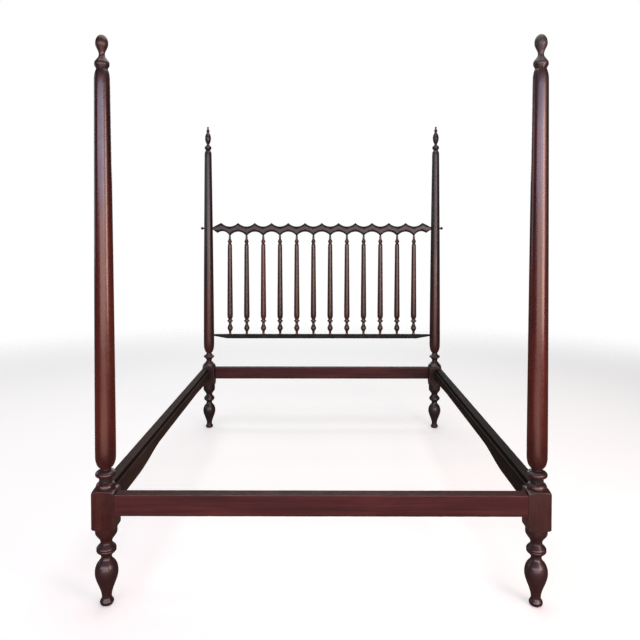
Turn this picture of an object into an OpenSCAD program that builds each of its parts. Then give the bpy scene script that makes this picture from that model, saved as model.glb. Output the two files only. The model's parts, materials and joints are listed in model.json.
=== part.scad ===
// Four-post bed frame with a spindle headboard, in turned and sawn hardwood.
// Millimetres, +Z up, +Y towards the head. The origin is on the floor, midway between the four posts.

/* [Bed plan] */
// Distance between the axes of the left and right posts
bed_w = 1450; // [1000:10:1900]
// Distance between the axes of the foot and head posts
bed_l = 1967; // [1700:1:2200]

/* [Leg of every post] */
// Diameter of the flat under the foot
foot_flat_d = 26; // [18:0.5:38]
// Diameter of the bun foot
bun_d = 46; // [40:0.5:60]
// Height of the bun foot's widest place above the floor
bun_h = 12; // [8:0.5:24]
// Diameter of the ankle
ankle_d = 32.5; // [24:0.5:38]
// Height from the bun foot's widest place to the ankle
ankle_h = 16; // [10:0.5:40]
// Diameter of the vase
vase_d = 77; // [56:0.5:90]
// Height from the ankle to the vase's widest place
vase_low_h = 86; // [50:1:110]
// Diameter where the vase's round shoulder meets the hollow above it
vase_shoulder_d = 46; // [40:0.5:54]
// Height of the vase's round shoulder
vase_shoulder_h = 39; // [25:0.5:55]
// Height of the hollow between the shoulder and the neck
vase_hollow_h = 14; // [8:0.5:24]
// Diameter of the neck between the vase and the ring
neck_d = 35; // [26:0.5:39]
// Diameter of the ring above the neck
leg_ring_d = 66; // [50:0.5:74]
// Height of each sloping side of the ring
leg_ring_slope_h = 21; // [12:0.5:28]
// Height of the ring's edge
leg_ring_edge_h = 6; // [4:0.5:12]
// Depth of the fine groove around the ring's edge
leg_groove_depth = 1.2; // [0.5:0.1:3]
// Diameter of the neck between the ring and the cup
cup_neck_d = 39; // [28:0.5:46]
// Height of the neck between the ring and the cup
cup_neck_h = 2; // [1:0.5:12]
// Diameter of the cup below the block
cup_d = 73; // [50:0.5:75]
// Height of the cup's curved underside
cup_round_h = 34; // [25:0.5:50]
// Height of the cup's straight side below a foot post's block
foot_cup_side_h = 16; // [8:0.5:28]
// Height of the cup's straight side below a head post's block
head_cup_side_h = 28; // [12:0.5:36]

/* [Square blocks] */
// Width of the square block of every post
block_w = 76; // [76:0.5:100]
// Height of a foot post's block up to the level where its corners turn in
foot_block_h = 125; // [118:1:150]
// Height of the turned top of a foot post's block
foot_block_top_h = 8; // [6:0.5:20]
// Diameter at the upper end of a foot post's turned block top
foot_block_top_d = 64; // [61:0.5:70]
// Height of a head post's block up to the level where its corners turn in
head_block_h = 97; // [97:1:150]
// Height of the turned top of a head post's block
head_block_top_h = 42; // [30:0.5:60]
// Diameter at the upper end of a head post's turned block top
head_block_top_d = 56; // [54.5:0.5:66]
// Height over which a foot post's block corners turn in at the bottom
foot_block_under_h = 5; // [2:0.5:20]
// Diameter to which a foot post's block corners turn in at the bottom
foot_block_under_d = 98; // [80:0.5:104]
// Height over which a head post's block corners turn in at the bottom
head_block_under_h = 22; // [2:0.5:26]
// Diameter to which a head post's block corners turn in at the bottom
head_block_under_d = 84; // [80:0.5:104]

/* [Foot post above its block] */
// Diameter of the narrow fillet on the block
foot_fillet_d = 60; // [50:0.5:60.5]
// Height of that fillet
foot_fillet_h = 2.5; // [1:0.5:6]
// Diameter of the round shoulder above the fillet
foot_round_d = 66; // [62:0.5:74]
// Height of the round shoulder's edge
foot_round_edge_h = 1.5; // [0.5:0.5:5]
// Height of the round shoulder above its edge
foot_round_h = 15; // [8:0.5:22]
// Diameter of the neck above the round shoulder
foot_low_neck_d = 44; // [34:0.5:50]
// Height of that neck
foot_low_neck_h = 17; // [8:0.5:24]
// Diameter of the disc
foot_disc_d = 69; // [50:0.5:76]
// Height of the disc's round underside
foot_disc_low_h = 9.5; // [6:0.5:18]
// Height of the disc's edge
foot_disc_edge_h = 2; // [1:0.5:10]
// Height of the disc's sloping upper side
foot_disc_top_h = 14; // [8:0.5:22]
// Diameter of the neck between the disc and the shaft
foot_top_neck_d = 35; // [26:0.5:44]
// Height of the neck between the disc and the shaft
foot_top_neck_h = 5.5; // [3:0.5:12]
// Height of the shaft's round lower end
foot_shaft_round_h = 40; // [25:1:60]
// Diameter of the shaft at its lower end
foot_shaft_low_d = 68; // [54:0.5:74]
// Length of the tapering shaft
foot_shaft_l = 1255; // [1000:1:1400]
// Diameter of the shaft at its upper end
foot_shaft_top_d = 52; // [44:0.5:54]
// Fullness of the shaft's taper, where 1 is a straight cone
foot_shaft_swell = 1.35; // [1:0.05:2]
// Height of the shaft's rounded shoulder
foot_shoulder_h = 36; // [20:0.5:44]
// Diameter of the neck below the collar
foot_collar_neck_d = 37; // [30:0.5:42]
// Height of the collar's sloping underside
foot_collar_slope_h = 12; // [6:0.5:20]
// Diameter of the collar that carries the finial
foot_collar_d = 50; // [43:0.5:60]
// Height of the collar's straight edge
foot_collar_edge_h = 3; // [1:0.5:8]

/* [Head post above its block] */
// Diameter of the small cap on the block
head_cap_d = 53; // [46:0.5:54]
// Height of the small domed cap
head_cap_h = 10; // [6:0.5:18]
// Diameter of the neck above the cap
head_low_neck_d = 34; // [26:0.5:42]
// Height of the neck above the cap
head_low_neck_h = 8; // [3:0.5:14]
// Diameter of the head post's ring
head_ring_d = 67; // [50:0.5:76]
// Height of each sloping side of the head post's ring
head_ring_slope_h = 21; // [14:0.5:32]
// Height of the head post's ring's edge
head_ring_edge_h = 7; // [2:0.5:12]
// Diameter of the neck between the ring and the shaft
head_top_neck_d = 32; // [26:0.5:42]
// Height of the shaft's round lower end
head_shaft_round_h = 57; // [30:1:80]
// Diameter of the shaft at its lower end
head_shaft_low_d = 66; // [54:0.5:72]
// Length of the tapering shaft
head_shaft_l = 1214; // [1150:1:1400]
// Diameter of the shaft at its upper end
head_shaft_top_d = 44.5; // [36:0.5:50]
// Fullness of the shaft's taper, where 1 is a straight cone
head_shaft_swell = 1.35; // [1:0.05:2]
// Height of the shaft's rounded shoulder
head_shoulder_h = 22; // [10:0.5:30]
// Diameter of the neck below the collar
head_collar_neck_d = 28; // [24:0.5:34]
// Height of the collar's sloping underside
head_collar_slope_h = 15; // [8:0.5:24]
// Diameter of the collar that carries the finial
head_collar_d = 43; // [36:0.5:52]
// Height of the collar's straight edge
head_collar_edge_h = 2; // [1:0.5:8]

/* [Foot finial] */
// Height of the finial's edge on the collar
pear_edge_h = 2; // [1:0.5:8]
// Height of the slope from the edge to the finial's neck
pear_slope_h = 29; // [15:0.5:40]
// Diameter of the finial's neck
pear_neck_d = 20; // [14:0.2:28]
// Height of the neck
pear_neck_h = 2; // [1:0.5:14]
// Height from the neck to the pear's widest place
pear_low_h = 35; // [25:0.5:50]
// Diameter of the pear
pear_d = 42.5; // [32:0.5:56]
// Height from the pear's widest place to its top
pear_top_h = 30; // [18:0.5:36]

/* [Head finial] */
// Height of the finial's edge on the collar
urn_edge_h = 4; // [1:0.5:8]
// Height of the slope from the edge to the neck below the urn
urn_slope_h = 17; // [12:0.5:26]
// Diameter of the neck below the urn
urn_neck_d = 16.5; // [12:0.5:22]
// Height of the neck below the urn
urn_neck_h = 4; // [1:0.5:10]
// Height from that neck to the urn's widest place
urn_low_h = 37; // [25:0.5:48]
// Diameter of the urn
urn_d = 37.5; // [28:0.5:48]
// Height from the urn's widest place to the neck above it
urn_top_h = 36; // [25:0.5:48]
// Diameter of the neck between the urn and the bead
urn_top_neck_d = 11.5; // [8:0.5:15]
// Height from that neck to the bead's widest place
urn_bead_low_h = 10; // [6:0.5:15]
// Diameter of the bead above the urn
urn_bead_d = 20; // [16:0.5:26]
// Height from the bead's widest place to the neck above it
urn_bead_top_h = 11; // [7:0.5:16]
// Diameter of the neck between the bead and the ball at the tip
tip_neck_d = 7.5; // [6:0.5:8.5]
// Diameter of the ball at the tip
tip_ball_d = 12.5; // [9:0.5:18]
// Height from the neck below the tip ball to the ball's widest place
tip_ball_low_h = 9; // [5:0.5:14]

/* [Finial dowels] */
// Diameter of the dowel under each foot finial
foot_dowel_d = 18; // [12:0.5:22]
// Diameter of the dowel under each head finial
head_dowel_d = 14; // [10:0.5:18]
// Length of each finial's dowel
dowel_l = 45; // [25:1:60]

/* [Foot and head rails] */
// Height of the foot and head rails' undersides above the floor
end_rail_z = 317; // [312:1:324]
// Height of the foot and head rails
end_rail_h = 71; // [56:1:72]
// Thickness of the foot and head rails
end_rail_t = 45; // [32:0.5:56]

/* [Side rails] */
// Height of the side rails' top above the floor
side_rail_top_z = 387; // [378:1:389]
// Height of a side rail at its deep foot end
side_rail_foot_h = 83; // [72:1:92]
// Height of a side rail in its slim middle
side_rail_mid_h = 58.5; // [44:0.5:66]
// Height of a side rail at its head end
side_rail_head_h = 70; // [67:1:80]
// Length of the deep straight stretch at the foot end
side_rail_foot_l = 340; // [100:5:450]
// Length of the curve from the deep foot end to the slim middle
side_rail_foot_curve_l = 330; // [150:5:440]
// Length of the curve from the slim middle to the head end
side_rail_head_curve_l = 450; // [150:5:600]
// Thickness of a side rail
side_rail_t = 45; // [34:0.5:56]
// Width of the rebate along the inner top edge
rebate_w = 9; // [5:0.5:14]
// Depth of the rebate below the rail's top
rebate_depth = 14; // [6:0.5:24]

/* [Tenons of the four rails] */
// Length of each rail tenon
tenon_l = 36; // [20:1:38]
// Thickness of each rail tenon
tenon_t = 16; // [10:0.5:20]
// Shoulder left above and below each end rail's tenon, and at least that at each side rail's
tenon_shoulder = 10; // [5:0.5:14]

/* [Headboard rails] */
// Height of the pins and of the top rail's pointed ends above the floor
pin_z = 1283; // [1100:1:1500]
// Number of spindles
spindle_count = 12; // [8:1:14]
// Distance from a head post's axis to the nearest spindle's axis
spindle_margin = 136.5; // [130:0.5:160]
// Thickness of the top rail
top_rail_t = 26; // [18:0.5:34]
// Height of the top rail's peaks above the pins
peak_h = 35; // [25:0.5:60]
// Depth of each hollow between two peaks
hollow_depth = 23; // [8:0.5:30]
// Depth of the points above the spindles below the pins
point_depth = 50; // [30:0.5:60]
// Rise of each arch between two spindles
arch_rise = 28.5; // [12:0.5:32]
// Depth below the pins of the last point at each end
end_point_depth = 29; // [15:0.5:40]
// Distance from the last spindle's axis to the last point
end_point_reach = 78; // [60:1:84]
// Rise of the last arch at each end
end_arch_rise = 20; // [6:0.5:22]
// Height of the top rail's end against the post
top_rail_end_h = 14; // [12:0.5:20]
// Height of the bottom rail's underside above the floor
low_rail_z = 578; // [560:1:700]
// Height of the bottom rail
low_rail_h = 26; // [24:0.5:50]
// Thickness of the bottom rail
low_rail_t = 28; // [22:0.5:40]
// Length over which each end of the bottom rail is thinned
low_rail_taper_l = 86; // [40:1:100]
// Height and thickness of the bottom rail's end against the post
low_rail_end = 12; // [11:0.5:20]
// Diameter of the bottom rail's round tenons
low_tenon_d = 10; // [6:0.5:10.5]
// Length of the bottom rail's round tenons inside the post
low_tenon_l = 25; // [12:1:28]

/* [Spindles] */
// Diameter of the spindle's lower neck on the rail
spindle_foot_d = 17; // [13:0.5:22]
// Diameter of the thin place below the bulb
spindle_stem_d = 15; // [12:0.5:17]
// Height of the spindle's lower neck
spindle_foot_h = 13; // [8:0.5:26]
// Diameter of the thin place above the bulb
spindle_neck_d = 17; // [13:0.5:20]
// Diameter of the bulb
spindle_bulb_d = 35; // [22:0.5:40]
// Height from the lower neck to the bulb's widest place
spindle_bulb_low_h = 25; // [14:0.5:34]
// Height from the bulb's widest place to the thin place above it
spindle_bulb_top_h = 32; // [16:0.5:38]
// Diameter of the disc
spindle_disc_d = 38; // [28:0.5:44]
// Height of each hollow side of the disc
spindle_disc_side_h = 13; // [8:0.5:18]
// Height of the disc's edge
spindle_disc_edge_h = 3; // [1:0.5:6]
// Diameter of the thin place between the disc and the shaft
spindle_waist_d = 22; // [16:0.5:26]
// Height of the shaft's round lower end
spindle_round_h = 24; // [12:0.5:36]
// Diameter of the shaft at its lower end
spindle_low_d = 36; // [22:0.5:40]
// Diameter of the shaft at its upper end
spindle_top_d = 27.5; // [18:0.5:32]
// Height of the shaft's rounded shoulder
spindle_shoulder_h = 20; // [10:0.5:30]
// Diameter of the thin place above the shoulder
spindle_top_waist_d = 17; // [14:0.5:23]
// Diameter of the upper bead
spindle_bead_d = 28; // [24:0.5:34]
// Height from the thin place to the upper bead's widest place
spindle_bead_low_h = 10; // [3:0.5:16]
// Height from the upper bead's widest place to the upper neck
spindle_bead_top_h = 20; // [14:0.5:34]
// Height of the upper neck below the top rail
spindle_upper_neck_h = 16; // [4:0.5:20]
// Diameter of the spindle's upper neck
spindle_upper_neck_d = 14; // [12.5:0.5:17]
// Diameter of the spindle's tenons
spindle_tenon_d = 10.5; // [7:0.5:12]
// Length of the spindle's tenon in the bottom rail
spindle_low_tenon_l = 18; // [8:1:22]
// Length of the spindle's tenon in the top rail
spindle_top_tenon_l = 20; // [8:1:26]

/* [Headboard pins] */
// Diameter of the pin's shank
pin_d = 9; // [6:0.5:10]
// Diameter of the ball on the pin
pin_ball_d = 18; // [12:0.5:22]
// Length of shank showing between the post and the ball
pin_show_l = 3; // [2:0.5:12]
// Depth of the pin in the end of the top rail
pin_in_rail_l = 45; // [20:1:52]

/* [Fits] */
// Gap around each glued or dry tenon
tenon_gap = 0.2; // [0.1:0.05:0.5]
// Gap all round each finial dowel and headboard pin
running_gap = 0.08; // [0.02:0.01:0.1]
// Gap left beyond the end of a dowel, pin or tenon
end_gap = 2; // [0.5:0.5:3]

/* [Hidden] */
curve_steps = 10;
shaft_steps = 16;
bow_steps = 12;
round_fn = 64;
overlap = 1;
corner_margin = 2;
full_turn = 82;
soft_turn = 50;
shoulder_turn = 58;

function spindle_name(i) = str("spindle_", i < 10 ? "0" : "", i);

post_x = bed_w / 2;
post_y = bed_l / 2;
block_half = block_w / 2;
block_corner_r = block_half * sqrt(2);

// A turned outline is a list of stations. Each gives the shape of the stretch that leads to it, the
// radius there and the height of the stretch. A line is straight and an ogee is an S curve. A dome
// leaves upright and arrives level, and a bowl leaves level and arrives upright. Domes and bowls also
// give how far they turn, and a shaft gives how full its taper is.
leg_stations = [
    ["bowl", bun_d / 2, bun_h, full_turn],
    ["ogee", ankle_d / 2, ankle_h],
    ["ogee", vase_d / 2, vase_low_h],
    ["dome", vase_shoulder_d / 2, vase_shoulder_h, shoulder_turn],
    ["bowl", neck_d / 2, vase_hollow_h, soft_turn],
    ["ogee", leg_ring_d / 2, leg_ring_slope_h],
    ["line", leg_ring_d / 2 - leg_groove_depth, leg_ring_edge_h / 2],
    ["line", leg_ring_d / 2, leg_ring_edge_h / 2],
    ["ogee", cup_neck_d / 2, leg_ring_slope_h],
    ["line", cup_neck_d / 2, cup_neck_h]
];

// The cup reaches a little way up into the square block, and the turning's core runs on through it
function cup_stations(side_h, core_d, block_h) = [
    ["ogee", cup_d / 2, cup_round_h],
    ["line", cup_d / 2, side_h + overlap],
    ["line", core_d / 2, 0],
    ["line", core_d / 2, block_h - 2 * overlap]
];

foot_low_stations = [
    ["line", foot_fillet_d / 2, foot_fillet_h + overlap],
    ["line", foot_round_d / 2, 0],
    ["line", foot_round_d / 2, foot_round_edge_h],
    ["dome", foot_low_neck_d / 2, foot_round_h, full_turn],
    ["line", foot_low_neck_d / 2, foot_low_neck_h],
    ["bowl", foot_disc_d / 2, foot_disc_low_h, full_turn],
    ["line", foot_disc_d / 2, foot_disc_edge_h],
    ["dome", foot_top_neck_d / 2, foot_disc_top_h, soft_turn],
    ["line", foot_top_neck_d / 2, foot_top_neck_h],
    ["bowl", foot_shaft_low_d / 2, foot_shaft_round_h, full_turn]
];
foot_high_stations = [
    ["shaft", foot_shaft_top_d / 2, foot_shaft_l, foot_shaft_swell],
    ["dome", foot_collar_neck_d / 2, foot_shoulder_h, soft_turn],
    ["line", foot_collar_d / 2, foot_collar_slope_h],
    ["line", foot_collar_d / 2, foot_collar_edge_h]
];

head_low_stations = [
    ["line", head_cap_d / 2, 0],
    ["line", head_cap_d / 2, overlap],
    ["dome", head_low_neck_d / 2, head_cap_h, full_turn],
    ["line", head_low_neck_d / 2, head_low_neck_h],
    ["dome", head_ring_d / 2, head_ring_slope_h, soft_turn],
    ["line", head_ring_d / 2, head_ring_edge_h],
    ["bowl", head_top_neck_d / 2, head_ring_slope_h, soft_turn],
    ["bowl", head_shaft_low_d / 2, head_shaft_round_h, full_turn]
];
head_high_stations = [
    ["shaft", head_shaft_top_d / 2, head_shaft_l, head_shaft_swell],
    ["dome", head_collar_neck_d / 2, head_shoulder_h, soft_turn],
    ["ogee", head_collar_d / 2, head_collar_slope_h],
    ["line", head_collar_d / 2, head_collar_edge_h]
];

pear_stations = [
    ["line", foot_collar_d / 2, pear_edge_h],
    ["ogee", pear_neck_d / 2, pear_slope_h],
    ["line", pear_neck_d / 2, pear_neck_h],
    ["ogee", pear_d / 2, pear_low_h],
    ["dome", 0, pear_top_h, 90]
];

urn_stations = [
    ["line", head_collar_d / 2, urn_edge_h],
    ["ogee", urn_neck_d / 2, urn_slope_h],
    ["line", urn_neck_d / 2, urn_neck_h],
    ["bowl", urn_d / 2, urn_low_h, soft_turn],
    ["dome", urn_top_neck_d / 2, urn_top_h, soft_turn],
    ["bowl", urn_bead_d / 2, urn_bead_low_h, full_turn],
    ["dome", tip_neck_d / 2, urn_bead_top_h, full_turn],
    ["ogee", tip_ball_d / 2, tip_ball_low_h],
    ["dome", 0, tip_ball_d / 2, 90]
];

spindle_low_stations = [
    ["bowl", spindle_stem_d / 2, spindle_foot_h, full_turn],
    ["ogee", spindle_bulb_d / 2, spindle_bulb_low_h],
    ["ogee", spindle_neck_d / 2, spindle_bulb_top_h],
    ["dome", spindle_disc_d / 2, spindle_disc_side_h, soft_turn],
    ["line", spindle_disc_d / 2, spindle_disc_edge_h],
    ["bowl", spindle_waist_d / 2, spindle_disc_side_h, soft_turn],
    ["bowl", spindle_low_d / 2, spindle_round_h, full_turn]
];
spindle_high_stations = [
    ["dome", spindle_top_waist_d / 2, spindle_shoulder_h, full_turn],
    ["ogee", spindle_bead_d / 2, spindle_bead_low_h],
    ["ogee", spindle_upper_neck_d / 2, spindle_bead_top_h],
    ["line", spindle_upper_neck_d / 2, spindle_upper_neck_h - tenon_gap],
    ["line", spindle_tenon_d / 2, 0],
    ["line", spindle_tenon_d / 2, spindle_top_tenon_l + tenon_gap]
];

// Levels above the floor, each stacked on the one before it
function rise(stations, i = 0) = i == len(stations) ? 0 : stations[i][2] + rise(stations, i + 1);

cup_side_z = rise(leg_stations) + cup_round_h;
foot_block_z = cup_side_z + foot_cup_side_h;
head_block_z = cup_side_z + head_cup_side_h;
foot_block_total_h = foot_block_h + foot_block_top_h;
head_block_total_h = head_block_h + head_block_top_h;
foot_shaft_z = foot_block_z + foot_block_total_h - overlap + rise(foot_low_stations);
head_shaft_z = head_block_z + head_block_total_h - overlap + rise(head_low_stations);
foot_post_h = foot_shaft_z + rise(foot_high_stations);
head_post_h = head_shaft_z + rise(head_high_stations);

// Radius of a head post's shaft at a level, and where the headboard's parts meet it
function shaft_r(low_r, top_r, share, swell) = low_r + (top_r - low_r) * pow(share, swell);
function head_shaft_r(z) =
    let (share = (z - head_shaft_z) / head_shaft_l)
    shaft_r(head_shaft_low_d / 2, head_shaft_top_d / 2, share, head_shaft_swell);

top_rail_half_l = post_x - head_shaft_r(pin_z);
low_rail_top_z = low_rail_z + low_rail_h;
low_tenon_z = low_rail_top_z - low_rail_end / 2;
low_rail_half_l = post_x - head_shaft_r(low_tenon_z);
spindle_pitch = (bed_w - 2 * spindle_margin) / (spindle_count - 1);
last_spindle_x = post_x - spindle_margin;
point_z = pin_z - point_depth;
function spindle_x(i) = -last_spindle_x + (i - 1) * spindle_pitch;

end_rail_half_l = post_x - block_half;
side_rail_half_l = post_y - block_half;
// Both tenons of a side rail stand at the same level, inside its shallower head end
side_tenon_z = side_rail_top_z - side_rail_head_h + tenon_shoulder;
side_tenon_h = side_rail_head_h - 2 * tenon_shoulder;

// Stretches of an outline from point a to point b, without a itself
function turn_share(t, turn) = [(1 - cos(t)) / (1 - cos(turn)), sin(t) / sin(turn)];
function mix(a, b, share) = [a[0] + (b[0] - a[0]) * share[0], a[1] + (b[1] - a[1]) * share[1]];

function ogee(a, b) =
    [for (i = [1:curve_steps]) mix(a, b, [(1 - cos(180 * i / curve_steps)) / 2, i / curve_steps])];
function dome(a, b, turn) =
    [for (i = [1:curve_steps]) mix(a, b, turn_share(turn * i / curve_steps, turn))];
function bowl(a, b, turn) =
    [for (i = [1:curve_steps]) mix(b, a, turn_share(turn * (curve_steps - i) / curve_steps, turn))];
function shaft(a, b, swell) =
    [for (i = [1:shaft_steps]) let (share = i / shaft_steps)
        [shaft_r(a[0], b[0], share, swell), a[1] + (b[1] - a[1]) * share]];

function stretch(shape, a, b, extra) =
    shape == "ogee" ? ogee(a, b)
    : shape == "dome" ? dome(a, b, extra)
    : shape == "bowl" ? bowl(a, b, extra)
    : shape == "shaft" ? shaft(a, b, extra)
    : [b];

function turned(stations, at, i = 0) =
    i == len(stations) ? []
    : let (station = stations[i], there = [station[1], at[1] + station[2]])
    concat(stretch(station[0], at, there, station[3]), turned(stations, there, i + 1));

// An arc from a to b that rises to the left of the way from a to b, without a itself
function bow(a, b, height) =
    let (
        way = b - a,
        chord = norm(way),
        along = way / chord,
        left = [-along[1], along[0]],
        side = sign(height),
        radius = (chord * chord / 4 + height * height) / (2 * abs(height)),
        half_turn = asin(chord / 2 / radius)
    )
    [for (i = [1:bow_steps])
        let (
            t = half_turn * (2 * i / bow_steps - 1),
            out = side * radius * (cos(t) - cos(half_turn))
        )
        a + along * (chord / 2 + radius * sin(t)) + left * out];

// A solid of revolution from a station list, from the radius and level given upwards
module turning(stations, start) {
    base = start[0] > 0 ? [[0, start[1]], start] : [start];
    points = turned(stations, start);
    last = points[len(points) - 1];
    cap = last[0] > 0 ? [[0, last[1]]] : [];
    rotate_extrude($fn = round_fn) polygon(concat(base, points, cap));
}

// A square block whose four corners are turned in below and above. Both cones run on past the corners.
module block(block_z, under_d, under_h, straight_h, top_d, top_h) {
    top_z = block_z + straight_h + top_h;
    wide_r = block_corner_r + corner_margin;
    under_wide_h = under_h * (wide_r - under_d / 2) / (block_corner_r - under_d / 2);
    top_wide_h = top_h * (wide_r - top_d / 2) / (block_corner_r - top_d / 2);
    intersection() {
        translate([-block_half, -block_half, block_z]) cube([block_w, block_w, straight_h + top_h]);
        rotate_extrude($fn = round_fn) polygon([
            [0, block_z],
            [under_d / 2, block_z],
            [wide_r, block_z + under_wide_h],
            [wide_r, top_z - top_wide_h],
            [top_d / 2, top_z],
            [0, top_z]
        ]);
    }
}

module dowel_bore(dowel_d, top_z) {
    depth = dowel_l + end_gap;
    translate([0, 0, top_z - depth])
        cylinder(d = dowel_d + 2 * running_gap, h = depth + overlap, $fn = round_fn);
}

// A mortise in the post's face towards the middle of an end rail, whose outer face is flush with the block
module end_rail_mortise() {
    depth = tenon_l + end_gap;
    height = end_rail_h - 2 * tenon_shoulder + 2 * tenon_gap;
    translate([
        block_half - depth,
        -block_half + (end_rail_t - tenon_t) / 2 - tenon_gap,
        end_rail_z + tenon_shoulder - tenon_gap
    ])
        cube([depth + overlap, tenon_t + 2 * tenon_gap, height]);
}

// A mortise in the post's face towards the middle of a side rail
module side_rail_mortise() {
    depth = tenon_l + end_gap;
    height = side_tenon_h + 2 * tenon_gap;
    translate([
        -block_half + (side_rail_t - tenon_t) / 2 - tenon_gap,
        block_half - depth,
        side_tenon_z - tenon_gap
    ])
        cube([tenon_t + 2 * tenon_gap, depth + overlap, height]);
}

// The foot post, its axis on Z, its outer faces towards -X and -Y
module foot_post() {
    difference() {
        union() {
            turning(
                concat(
                    leg_stations,
                    cup_stations(foot_cup_side_h, foot_fillet_d, foot_block_total_h),
                    foot_low_stations,
                    foot_high_stations
                ),
                [foot_flat_d / 2, 0]
            );
            block(
                foot_block_z,
                foot_block_under_d,
                foot_block_under_h,
                foot_block_h,
                foot_block_top_d,
                foot_block_top_h
            );
        }
        end_rail_mortise();
        side_rail_mortise();
        dowel_bore(foot_dowel_d, foot_post_h);
    }
}

// The head post, its axis on Z, its outer faces towards -X and -Y
module head_post() {
    difference() {
        union() {
            turning(
                concat(
                    leg_stations,
                    cup_stations(head_cup_side_h, head_low_neck_d, head_block_total_h),
                    head_low_stations,
                    head_high_stations
                ),
                [foot_flat_d / 2, 0]
            );
            block(
                head_block_z,
                head_block_under_d,
                head_block_under_h,
                head_block_h,
                head_block_top_d,
                head_block_top_h
            );
        }
        end_rail_mortise();
        side_rail_mortise();
        dowel_bore(head_dowel_d, head_post_h);
        translate([-block_w, 0, pin_z])
            rotate([0, 90, 0])
            cylinder(d = pin_d + 2 * running_gap, h = 2 * block_w, $fn = round_fn);
        translate([post_x - low_rail_half_l - low_tenon_l - end_gap, 0, low_tenon_z])
            rotate([0, 90, 0])
            cylinder(d = low_tenon_d + 2 * tenon_gap, h = block_w, $fn = round_fn);
    }
}

// A finial with its dowel, standing on a post's top
module finial(stations, collar_d, dowel_d) {
    turning(stations, [collar_d / 2, 0]);
    translate([0, 0, -dowel_l]) cylinder(d = dowel_d, h = dowel_l + overlap, $fn = round_fn);
}

// A rail between two posts at the foot, with its tenons
module end_rail() {
    outer_y = -post_y - block_half;
    reach = end_rail_half_l + tenon_l;
    translate([-end_rail_half_l, outer_y, end_rail_z]) cube([2 * end_rail_half_l, end_rail_t, end_rail_h]);
    translate([-reach, outer_y + (end_rail_t - tenon_t) / 2, end_rail_z + tenon_shoulder])
        cube([2 * reach, tenon_t, end_rail_h - 2 * tenon_shoulder]);
}

// The left side rail: deep at its foot end, slimmer in its middle and a little deeper again at its
// head end, with a rebate on its inner top edge
module side_rail() {
    outer_x = -post_x - block_half;
    reach = side_rail_half_l + tenon_l;
    foot_z = side_rail_top_z - side_rail_foot_h;
    mid_z = side_rail_top_z - side_rail_mid_h;
    head_z = side_rail_top_z - side_rail_head_h;
    deep_y = -side_rail_half_l + side_rail_foot_l;
    slim_y = deep_y + side_rail_foot_curve_l;
    rise_y = side_rail_half_l - side_rail_head_curve_l;
    // The underside from the foot end to the head end, as [y, z]
    foot_curve = [for (p = ogee([foot_z, deep_y], [mid_z, slim_y])) [p[1], p[0]]];
    head_curve = [for (p = ogee([mid_z, rise_y], [head_z, side_rail_half_l])) [p[1], p[0]]];
    underside = concat(
        [[-side_rail_half_l, foot_z], [deep_y, foot_z]],
        foot_curve,
        [[rise_y, mid_z]],
        head_curve
    );
    top = [[side_rail_half_l, side_rail_top_z], [-side_rail_half_l, side_rail_top_z]];
    ledge_z = side_rail_top_z - rebate_depth;
    difference() {
        union() {
            translate([outer_x, 0, 0])
                rotate([90, 0, 90])
                linear_extrude(height = side_rail_t)
                polygon(concat(underside, top));
            translate([outer_x + (side_rail_t - tenon_t) / 2, -reach, side_tenon_z])
                cube([tenon_t, 2 * reach, side_tenon_h]);
        }
        translate([outer_x + side_rail_t - rebate_w, -side_rail_half_l - overlap, ledge_z])
            cube([rebate_w + overlap, 2 * (side_rail_half_l + overlap), rebate_depth + overlap]);
    }
}

// Front outline of the top rail: peaks between the spindles, points over them, and pointed ends
function top_rail_outline() =
    let (
        peak_z = pin_z + peak_h,
        last_peak_x = last_spindle_x + spindle_pitch / 2,
        end_point = [last_spindle_x + end_point_reach, pin_z - end_point_depth],
        end_low = [top_rail_half_l, pin_z - top_rail_end_h / 2],
        end_high = [top_rail_half_l, pin_z + top_rail_end_h / 2],
        first_low = [-end_point[0], end_point[1]]
    )
    concat(
        [[-end_low[0], end_low[1]], first_low],
        bow(first_low, [spindle_x(1), point_z], end_arch_rise),
        [for (i = [1:spindle_count - 1])
            each bow([spindle_x(i), point_z], [spindle_x(i + 1), point_z], arch_rise)],
        bow([spindle_x(spindle_count), point_z], end_point, end_arch_rise),
        [end_low, end_high, [last_peak_x, peak_z]],
        [for (i = [spindle_count:-1:1])
            let (x = spindle_x(i), half = spindle_pitch / 2)
            each bow([x + half, peak_z], [x - half, peak_z], hollow_depth)],
        [[-end_high[0], end_high[1]]]
    );

module headboard_top_rail() {
    color("#2b211f") difference() {
        translate([0, post_y + top_rail_t / 2, 0])
            rotate([90, 0, 0])
            linear_extrude(height = top_rail_t)
            polygon(top_rail_outline());
        for (i = [1:spindle_count])
            translate([spindle_x(i), post_y, point_z - overlap])
                cylinder(
                    d = spindle_tenon_d + 2 * tenon_gap,
                    h = spindle_top_tenon_l + end_gap + overlap,
                    $fn = round_fn
                );
        for (side = [0, 1])
            mirror([side, 0, 0])
                translate([top_rail_half_l - pin_in_rail_l - end_gap, post_y, pin_z])
                rotate([0, 90, 0])
                cylinder(d = pin_d + 2 * running_gap, h = pin_in_rail_l + end_gap + overlap, $fn = round_fn);
    }
}

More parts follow.
